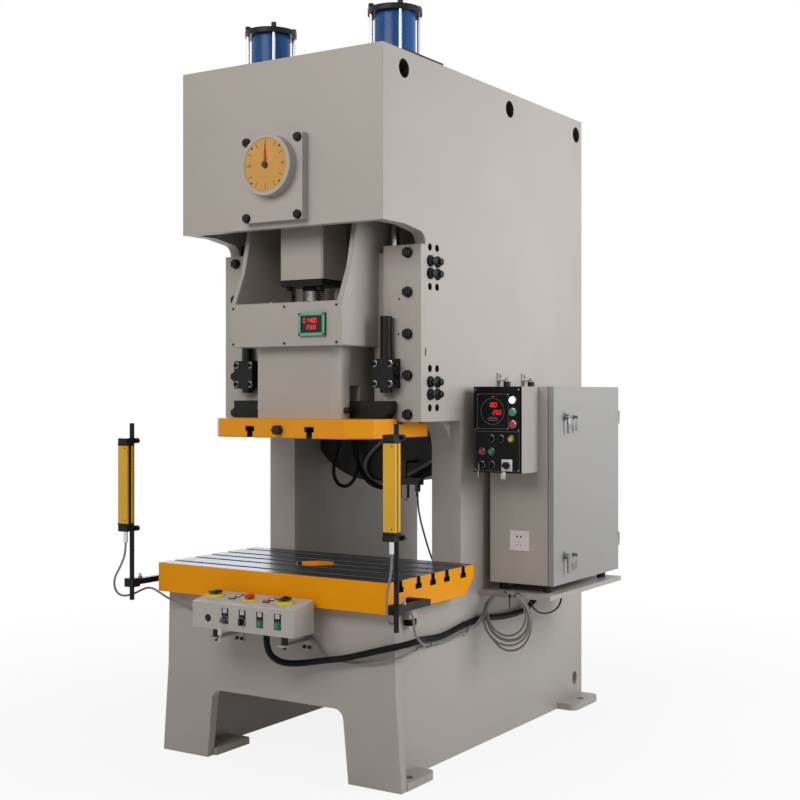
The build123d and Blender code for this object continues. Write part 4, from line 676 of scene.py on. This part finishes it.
add_piece("stop_clamp_washers", clamp_washers, bright_zinc)
add_piece("stop_clamp_screws", clamp_screws, black_oxide)
# The screws' hex sockets are flat near-black hexagons: painted shade for the recesses.
add_piece("stop_clamp_sockets", clamp_sockets, hole_shade_black)

# Bolster: a steel plate painted safety yellow on its sides and planed bright on top, with five
# T-slots and a drop hole.
bolster_finish = new_finish("bolster_finish", (248, 161, 3), 0.36, gloss=0.2,
                            clouds=(2.2, 0.05), bump=(160, 0.0004, 0.002))
coat_box(bolster_finish, (-0.5745, 0.5745), (-0.0715, 0.5775), (0.7535, 0.81),
         (132, 134, 138), 0.27, 1.0)
coat_round(bolster_finish, "Z", (0, 0.253, 0), (-1, 0.0805),
           ((-0.1, 0.1), (0.15, 0.36), (0.67, 0.7995)), safety_yellow, 0.4)
shader_of(bolster_finish).inputs["Specular Tint"].default_value = (0.58, 0.59, 0.62, 1)
dress(bolster_finish, "bolster")

# Rest for the bolster's rear corner: a short painted post on the side plate with a rubber buffer
# under its head.
rest_post, rest_buffer = bmesh.new(), bmesh.new()
add_block(rest_post, (0.504, 0.536), (0.140, 0.200), (0.628, 0.678), 0.002)
add_rod(rest_buffer, "-Z", (0.520, 0.170, 0.629), 0.026, 0.026, edge=0.004)
add_piece("bolster_rest", rest_post, side_enamel)
add_piece("bolster_rest_buffer", rest_buffer, black_rubber)

# Electrical cabinet: folded sheet under a light grey powder coat, on four rubber mounts, with two
# swing handles, their keys, and a white socket plate on the front.
powder_grey = (176, 170, 162)
cabinet_coat = enamel("cabinet_coat", powder_grey, 0.42)
coat_box(cabinet_coat, (0.6375, 0.7285), (0.78, 0.7885), (0.8415, 0.9275),
         (226, 218, 218), 0.35)
dress(cabinet_coat, "electrical_cabinet")
# The door has the cabinet's powder coat in a darker grey: painted shade, for less light on the
# door than the window lamp gives it.
dress(enamel("door_coat_painted_shade", (152, 150, 147), 0.42), "cabinet_door")
door_seal = bmesh.new()
add_block(door_seal, (0.8146, 0.8164), (0.7880, 0.7892), (0.7020, 1.5370))
add_piece("door_seal", door_seal, black_rubber)
mount_finish = enamel("mount_finish", powder_grey, 0.45)
rubber_grey = (24, 24, 24)
coat_box(mount_finish, (0.54, 0.82), (0.8, 1.45), (0.6655, 0.7), rubber_grey, 0.6)
coat_box(mount_finish, (0.5, 0.6), (0.9, 1.2), (1.5385, 1.5615), rubber_grey, 0.6)
coat_box(mount_finish, (0.65, 0.66), (0.74, 0.7505), (0.59, 0.67), rubber_grey, 0.5)
dress(mount_finish, "cabinet_mounts")
socket_front = 0.784
# The socket plate's holes are flat near-black discs: painted shade for the openings.
socket_holes = bmesh.new()
for x, z, radius in ((0.671, 0.902, 0.0042), (0.690, 0.902, 0.0042), (0.681, 0.880, 0.0022),
                     (0.672, 0.866, 0.0022), (0.690, 0.866, 0.0022)):
    add_rod(socket_holes, "-Y", (x, socket_front, z), radius, 0.0004, sides=20)
add_piece("socket_holes", socket_holes, hole_shade_black)

door_face = 0.8405
lever_chrome = new_finish("lever_chrome", (132, 132, 134), 0.18, 1.0, clouds=(30, 0.06),
                          patches=(40, 0.12, 0.24))
lever_depth, lock_depth = 0.893, 0.980
for body, height in (("upper_handle", 1.410), ("lower_handle", 0.818)):
    handle = bmesh.new()
    for out, radius, length, edge in ((0, 0.019, 0.005, 0.0015), (0.005, 0.012, 0.010, 0.001),
                                      (0.014, 0.0105, 0.011, 0.003)):
        add_rod(handle, "X", (door_face + out, lever_depth, height), radius, length, edge=edge)
    grip = (door_face + 0.019, lever_depth, height)
    add_rod(handle, "-Z", grip, 0.0065, 0.072, edge=0.003, tip=0.005)
    add_rod(handle, "Y", grip, 0.0065, 0.018, edge=0.002)
    add_piece(body + "_lever", handle, lever_chrome, body=body, stands_for=[body])
    lock = bmesh.new()
    add_rod(lock, "X", (door_face, lock_depth, height - 0.002), 0.009, 0.006, edge=0.001)
    blade = (lock_depth - 0.0015, lock_depth + 0.0015)
    add_block(lock, (door_face + 0.006, door_face + 0.022), blade,
              (height - 0.008, height + 0.004), 0.0005)
    add_rod(lock, "-Z", (door_face + 0.016, lock_depth, height - 0.006), 0.0012, 0.022, sides=12)
    bow = (lock_depth - 0.008, lock_depth + 0.008)
    add_block(lock, (door_face + 0.014, door_face + 0.018), bow,
              (height - 0.062, height - 0.028), 0.003)
    add_piece(body + "_lock_and_key", lock, lever_chrome, body="door")

# Cable ties: black nylon straps, drawn round the coil where it hangs and round the cables and the
# conduit where they run together.
knob_black = new_finish("knob_black", (9, 9, 10), 0.38, gloss=0.2, clouds=(60, 0.2),
                        bump=(700, 0.0001))
ties = bmesh.new()


def add_tie(center, along, width, height):
    """A strap's oval hoop about a line of direction `along`."""
    turn = Vector(along).to_track_quat("Z", "Y").to_matrix().to_4x4()
    place = Matrix.Translation(at(*center)) @ turn @ Matrix.Diagonal((width, height, 1, 1))
    outer = bmesh.ops.create_cone(ties, cap_ends=False, segments=32, radius1=0.5, radius2=0.5,
                                  depth=0.0045, matrix=place)
    hoop = dict.fromkeys(face for vert in outer["verts"] for face in vert.link_faces)
    bmesh.ops.solidify(ties, geom=list(hoop), thickness=0.0012)


add_tie((coil_x, 0.729, 0.6750), (1, 0, 0), 0.043, 0.020)
add_tie((coil_x + 0.046, 0.729, 0.6630), (1, 0, -0.47), 0.043, 0.021)
add_tie((0.518, 0.600, 0.5245), (0, 1, 0), 0.036, 0.062)
add_tie((0.518, 0.310, 0.5160), (0, 1, 0), 0.033, 0.049)
add_piece("cable_ties", ties, knob_black)

# Bolts and cup washers that hang the cabinet from the side plate: rubber bushes with bright studs.
hangers = bmesh.new()
for depth in (0.935, 1.168):
    add_rod(hangers, "Z", (0.544, depth, 1.568), 0.016, 0.003, edge=0.0008)
    add_rod(hangers, "Z", (0.544, depth, 1.571), 0.0085, 0.008, sides=6, edge=0.0008)
    add_rod(hangers, "X", (0.510, depth, 1.588), 0.008, 0.007, sides=6, edge=0.0008)
add_piece("cabinet_hanger_bolts", hangers, bright_zinc)

# Operator panel: a grey box with a black anodised front plate. It carries the crank-angle display,
# signal lamps, selectors, key switches and push buttons in bright bezels.
panel_black = new_finish("panel_black", (9, 9, 11), 0.36, gloss=0.13,
                         clouds=(18, 0.12), bump=(500, 0.0001))
coat_box(panel_black, (0.5, 0.8), (0.6365, 0.80), (1.1, 1.6), (164, 159, 152), 0.42)
dress(panel_black, "operator_panel")
panel_front = 0.630
display_front = panel_front - 0.006
white_print = new_finish("white_print", (200, 200, 205), 0.5, clouds=(200, 0.08))
grey_print = new_finish("grey_print", (104, 104, 108), 0.5, clouds=(200, 0.08))
print_marks = bmesh.new()
display_x = 0.642
for angle in range(0, 360, 10):
    add_ray(print_marks, at(display_x, display_front - 0.003, 1.435), angle, 0.05225, 0.05675,
            0.0035, 0.0004)
for width, z in ((0.040, 1.409), (0.050, 1.403), (0.044, 1.397)):
    add_block(print_marks, (display_x - width / 2, display_x + width / 2),
              (display_front - 0.0004, display_front), (z, z + 0.0022))
line = 0.0014
for x, z, face in (((0.568, 0.716), (1.362, 1.508), display_front),
                   ((0.553, 0.762), (1.186, 1.352), panel_front)):
    for low in (z[0], z[1] - line):
        add_block(print_marks, x, (face - 0.0004, face), (low, low + line))
    for left in (x[0], x[1] - line):
        add_block(print_marks, (left, left + line), (face - 0.0003, face),
                  (z[0] + 0.001, z[1] - 0.001))
add_piece("display_print", print_marks, grey_print)
panel_figures = bmesh.new()
add_figures(panel_figures, "180", 0.619, display_front - 0.0004, 1.453, 0.018)
add_figures(panel_figures, "250", 0.642, display_front - 0.0004, 1.422, 0.017)
add_rod(panel_figures, "-Y", (0.643, display_front, 1.4945), 0.004, 0.0012, sides=20)
add_piece("display_figures", panel_figures, lit_red)

bezels, knobs, corner_screws = bmesh.new(), bmesh.new(), bmesh.new()
for x in (0.571, 0.713):
    for z in (1.365, 1.505):
        add_rod(corner_screws, "-Y", (x, display_front, z), 0.0022, 0.0018, sides=20, edge=0.0006)
for x in (0.556, 0.759):
    for z in (1.192, 1.358, 1.525):
        add_rod(corner_screws, "-Y", (x, panel_front, z), 0.0028, 0.0020, sides=20, edge=0.0006)
add_piece("panel_screws", corner_screws, bright_zinc)
for name, z, glass, glow in (("white", 1.482, (250, 250, 255), 0.9),
                             ("green", 1.433, (30, 140, 104), 0.05),
                             ("red", 1.383, (176, 30, 40), 0.05)):
    lens = new_finish("lamp_" + name, glass, 0.18, clouds=(120, 0.08))
    shader_of(lens).inputs["Emission Color"].default_value = colour(*glass)
    shader_of(lens).inputs["Emission Strength"].default_value = glow
    cap = bmesh.new()
    add_rod(cap, "-Y", (0.735, panel_front - 0.0115, z), 0.0145, 0.006, edge=0.003)
    add_piece("lamp_cap_" + name, cap, lens)
    add_rod(bezels, "-Y", (0.735, panel_front, z), 0.0168, 0.0105, edge=0.001)
for x, z in ((0.632, 1.322), (0.677, 1.322), (0.634, 1.212), (0.587, 1.212),
             (0.725, 1.321), (0.588, 1.267), (0.633, 1.267)):
    add_rod(bezels, "-Y", (x, panel_front, z), 0.0160, 0.0052, edge=0.001)
add_piece("panel_bezels", bezels, bright_zinc)
for x, z, lean in ((0.632, 1.322, -35), (0.677, 1.322, 35), (0.634, 1.212, 35)):
    add_rod(knobs, "-Y", (x, panel_front - 0.0052, z), 0.0118, 0.010, edge=0.0015)
    place = Matrix.Translation(at(x, panel_front - 0.018, z))
    add_box(knobs, place @ Matrix.Rotation(radians(lean), 4, "Y"), (0.0075, 0.014, 0.0235))
add_rod(knobs, "-Y", (0.587, panel_front - 0.0052, 1.212), 0.0118, 0.008, edge=0.0015)
add_rod(knobs, "-Y", (0.706, panel_front - 0.004, 1.212), 0.0145, 0.012, edge=0.002)
add_rod(knobs, "-Y", (0.706, panel_front - 0.016, 1.212), 0.0095, 0.008, edge=0.002)
add_piece("panel_knobs", knobs, knob_black)
white_plate = bmesh.new()
add_block(white_plate, (0.6815, 0.7305), (panel_front - 0.0050, panel_front - 0.0005),
          (1.1875, 1.2365), 0.0015)
plate_white = new_finish("plate_white", (224, 222, 228), 0.35, clouds=(60, 0.04))
add_piece("rotary_switch_plate", white_plate, plate_white)
keys = bmesh.new()
add_block(keys, (0.586, 0.588), (panel_front - 0.030, panel_front - 0.013), (1.204, 1.220), 0.0005)
add_rod(keys, "-Z", (0.587, panel_front - 0.026, 1.205), 0.0012, 0.020, sides=12)
add_block(keys, (0.5855, 0.5885), (panel_front - 0.034, panel_front - 0.020),
          (1.160, 1.190), 0.0012)
add_rod(keys, "-Z", (0.703, panel_front - 0.026, 1.204), 0.0012, 0.022, sides=12)
add_block(keys, (0.690, 0.712), (panel_front - 0.0275, panel_front - 0.0245),
          (1.155, 1.184), 0.0012)
add_piece("panel_keys", keys, bright_zinc)


def button_finish(name, base):
    """Moulded plastic, a little worn on its rim."""
    return new_finish(name, base, 0.28, gloss=0.35, clouds=(90, 0.07), bump=(600, 0.00008, 0.001))


button_red = button_finish("button_red", (190, 30, 34))
button_green = button_finish("button_green", (28, 136, 96))
dress(button_red, "panel_red_button")
dress(button_green, "panel_green_button")
dress(button_finish("button_yellow", (206, 180, 66)), "panel_yellow_button")

# Two-hand control box: sheet steel in the frame's grey. Its collars are yellow, its palm buttons
# black, and it hangs on two arms with rubber feet.
box_enamel = enamel("box_enamel", (188, 184, 177), 0.42)
collar_yellow = (226, 206, 62)
button_depth = -0.172
above = ((-0.3, 0.3), (-0.25, -0.1), (0.701, 0.74))
for x, radius in ((-0.180, 0.0338), (0.165, 0.0338), (-0.005, 0.0323)):
    coat_round(box_enamel, "Z", (x, button_depth, 0), (-1, radius), above, collar_yellow, 0.35)
lighted_x = (-0.094, 0.075)
for x in lighted_x:
    coat_round(box_enamel, "Z", (x, button_depth, 0), (-1, 0.0155),
               ((-0.3, 0.3), (-0.25, -0.1), (0.6995, 0.74)), (60, 60, 62), 0.3, 0.7)
coat_box(box_enamel, (-0.3, 0.3), (-0.24, -0.2325), (0.6, 0.65), (16, 16, 17), 0.35)
coat_box(box_enamel, (0.04, 0.09), (-0.19, -0.13), (0.56, 0.5845), (14, 14, 15), 0.5)
arm_x = (-0.180, 0.162)
for x in arm_x:
    coat_box(box_enamel, (x - 0.015, x + 0.015), (-0.19, -0.15), (0.5435, 0.5845),
             (14, 14, 14), 0.6)
dress(box_enamel, "two_hand_box")
palm_finish = button_finish("palm_black", (26, 24, 28))
dress(palm_finish, "left_palm_button", "right_palm_button", "selector_switch", "valve_lever")
dress(button_red, "emergency_stop")
dress(button_finish("lens_milky", (176, 196, 182)), "left_lighted_button")
dress(button_finish("lens_pink", (206, 110, 120)), "right_lighted_button")
dress(button_green, "left_green_button", "right_green_button")
dress(bright_zinc, "key_switch")

box_front = -0.232
label_plates, label_fields, rings_bright = bmesh.new(), bmesh.new(), bmesh.new()
for x in (-0.080, 0.006, 0.092, 0.178):
    add_block(label_plates, (x - 0.0165, x + 0.0165), (box_front - 0.0015, box_front),
              (0.611, 0.672), 0.001)
    for left in (x - 0.0099, x + 0.0005):
        for low in (0.6534, 0.6624):
            add_block(label_fields, (left, left + 0.0094), (box_front - 0.0020, box_front - 0.001),
                      (low, low + 0.0082))
    add_rod(rings_bright, "-Y", (x, box_front, 0.627), 0.0158, 0.0048, edge=0.001)
add_piece("control_label_plates", label_plates, knob_black)
add_piece("control_label_fields", label_fields, white_print)
add_piece("control_rings", rings_bright, bright_zinc)
hanging_keys = bmesh.new()
add_block(hanging_keys, (-0.0812, -0.0788), (-0.268, -0.250), (0.619, 0.635), 0.0005)
add_rod(hanging_keys, "-Z", (-0.080, -0.263, 0.620), 0.0012, 0.024, sides=12)
add_block(hanging_keys, (-0.0905, -0.0705), (-0.2642, -0.2620), (0.570, 0.597), 0.0008)
add_block(hanging_keys, (-0.0835, -0.0775), (-0.2642, -0.2620), (0.544, 0.571), 0.0006)
add_piece("control_keys", hanging_keys, bright_zinc, body="key_switch")
plug = bmesh.new()
add_rod(plug, "-Y", (-0.166, box_front, 0.627), 0.0145, 0.0022, edge=0.0008)
add_piece("blanking_plug", plug, knob_black)

# The lighted buttons' name plates lie on the box's sloping top.
label_height = 0.687 + 0.101 * (0.026 / 0.140)
top_lean = Matrix.Rotation(0.1835, 4, "X")
top_labels, top_fields = bmesh.new(), bmesh.new()
for x in lighted_x:
    for shape, width, length, lift in ((top_labels, 0.032, 0.038, 0.0008),
                                       (top_fields, 0.022, 0.022, 0.0014)):
        place = Matrix.Translation(at(x, -0.131, label_height + lift)) @ top_lean
        add_box(shape, place, (width, length, 0.0012))
add_piece("top_label_plates", top_labels, knob_black)
add_piece("top_label_fields", top_fields, white_print)
arm_bolts = bmesh.new()
for x in arm_x:
    for spot in (x - 0.012, x + 0.012):
        add_bolt(arm_bolts, "-Y", (spot, -0.022, 0.512), 0.013, 0.008)
    add_rod(arm_bolts, "-Z", (x, -0.168, 0.537), 0.007, 0.012, sides=6, edge=0.001)
add_piece("arm_bolts", arm_bolts, black_oxide)

# Light curtains: yellow anodised housings with a dark window down the inner side, black end caps
# and bright plugs, held by screw clamps on blackened rods whose arms a bright bolt closes.
dress(black_oxide, "curtain_posts")
post_bolts = bmesh.new()
for x in (-0.658, 0.658):
    add_rod(post_bolts, "Z", (x, -0.096, 0.730), 0.0100, 0.0025, edge=0.0006)
    add_bolt(post_bolts, "Z", (x, -0.096, 0.7325), 0.016, 0.010)
    add_rod(post_bolts, "Z", (x, -0.096, 0.7425), 0.0045, 0.010, edge=0.001)
add_piece("post_arm_bolts", post_bolts, bright_zinc)
housing_finish = new_finish("housing_yellow", (224, 172, 42), 0.32, 0.1, 0.3,
                            clouds=(8, 0.05), bump=(300, 0.0001, 0.0015, (1, 1, 0.05)))
housings = ((-1, 0.959), (1, 0.996))
for side, low in housings:
    x = side * 0.660
    coat_box(housing_finish, (x - 0.02, x + 0.02), (-0.2, -0.16), (low - 0.08, low - 0.0005),
             (200, 202, 204), 0.25, 1.0)
dress(housing_finish, "curtain_housings")
window_tint_and_groove_shade = new_finish("window_tint_and_groove_shade", (34, 14, 14), 0.15, clouds=(20, 0.2))
windows, groove_shades, caps, cap_screws = bmesh.new(), bmesh.new(), bmesh.new(), bmesh.new()
for side, low in housings:
    x = side * 0.660
    high = low + 0.342
    inner, outer = x - side * 0.026, x + side * 0.026
    length = (low + 0.004, high - 0.004)
    add_block(windows, sorted((inner, inner - side * 0.0006)), (-0.190, -0.176), length)
    add_block(groove_shades, sorted((outer, outer + side * 0.0006)), (-0.1835, -0.1775), length)
    for base in (low - 0.002, high - 0.010):
        add_block(caps, (x - 0.0275, x + 0.0275), (-0.1995, -0.1595), (base, base + 0.012), 0.002)
    for z in (low + 0.022, high - 0.020):
        add_rod(cap_screws, "-Y", (x + 0.012, -0.198, z), 0.0028, 0.0010, sides=16, edge=0.0003)
add_piece("curtain_windows", windows, window_tint_and_groove_shade)
# The thin dark strip down each housing's outer side is painted shade for a groove there; the
# window beside it has this dark tint of its own.
add_piece("curtain_groove_shades", groove_shades, window_tint_and_groove_shade)
add_piece("curtain_caps", caps, knob_black)
add_piece("curtain_screws", cap_screws, black_oxide)

# Air preparation in the throat: a filter bowl and a lever valve on a bracket below the guard.
air_finish = new_finish("air_unit", (36, 35, 33), 0.4, gloss=0.3, clouds=(30, 0.15),
                        bump=(400, 0.0002))
coat_box(air_finish, (0.14, 0.19), (0.66, 0.73), (1.03, 1.1095), (120, 118, 112), 0.25, 0.6)
coat_box(air_finish, (0.33, 0.37), (0.68, 0.72), (0.6, 0.7), (180, 170, 130), 0.3, 1.0)
dress(air_finish, "filter_regulator")

# The floor is a pale sheet that keeps the press's shadow. The room's soft light comes from a
# bright sky, a large window to the right, a weaker lamp in front and one behind.
floor_mesh = bpy.data.meshes.new("floor")
sheet = bmesh.new()
bmesh.ops.create_grid(sheet, x_segments=1, y_segments=1, size=30)
sheet.to_mesh(floor_mesh)
sheet.free()
floor = show(bpy.data.objects.new("floor", floor_mesh))
floor.location = (0, 0, -0.0005)
pale_floor = new_finish("pale_floor", (212, 212, 212), 0.9)
shader_of(pale_floor).inputs["Base Color"].default_value = (0.66, 0.66, 0.66, 1)


def seen_by_camera(owner):
    """1 for rays that come straight from the camera, by a mirror or through glass, else 0."""
    path = node(owner, "ShaderNodeLightPath").outputs
    straight = numbers(owner, "MAXIMUM", path["Is Camera Ray"], path["Is Glossy Ray"])
    return numbers(owner, "MAXIMUM", straight, path["Is Transmission Ray"])


from_press = vectors(pale_floor, "LENGTH", object_place(pale_floor))
fade = node(pale_floor, "ShaderNodeMapRange",
            {"Value": from_press, "From Min": 0.8, "From Max": 4.2, "To Min": 0.88, "To Max": 1.0},
            interpolation_type="SMOOTHSTEP")
share = numbers(pale_floor, "MULTIPLY", seen_by_camera(pale_floor), fade.outputs["Result"])
glow = node(pale_floor, "ShaderNodeEmission", {"Color": (1, 1, 1, 1), "Strength": 1.0})
blend = node(pale_floor, "ShaderNodeMixShader",
             {0: share, 1: shader_of(pale_floor).outputs[0], 2: glow.outputs[0]})
floor_output = pale_floor.node_tree.nodes["Material Output"]
pale_floor.node_tree.links.new(blend.outputs[0], floor_output.inputs["Surface"])
floor_mesh.materials.append(pale_floor)

world = bpy.data.worlds.new("white_room")
bpy.context.scene.world = world
world.use_nodes = True
level = node(world, "ShaderNodeMapRange",
             {"Value": seen_by_camera(world), "To Min": 0.29, "To Max": 1.0})
background = world.node_tree.nodes["Background"]
background.inputs["Color"].default_value = (1, 1, 1, 1)
world.node_tree.links.new(level.outputs["Result"], background.inputs["Strength"])


def add_lamp(name, place, aim, size, power, tint):
    """A soft rectangular lamp, turned to the point that it lights."""
    lamp = bpy.data.lights.new(name, "AREA")
    lamp.shape = "RECTANGLE"
    lamp.size, lamp.size_y = size
    lamp.energy = power
    lamp.color = tint
    holder = show(bpy.data.objects.new(name, lamp))
    holder.location = place
    holder.rotation_euler = (Vector(aim) - Vector(place)).to_track_quat("-Z", "Y").to_euler()


add_lamp("window_light", (3.1, 0.45, 2.35), (0.5, 0.25, 2.2), (1.8, 1.8), 70, (0.955, 0.975, 1))
add_lamp("front_light", (0.0, -4.0, 3.4), (0, -0.8, 2.2), (2.4, 1.6), 64, (1, 0.97, 0.925))
add_lamp("rear_light", (-3.6, 2.8, 2.8), (-0.3, 0.3, 1.4), (2.2, 2.2), 50, (0.97, 0.98, 1))
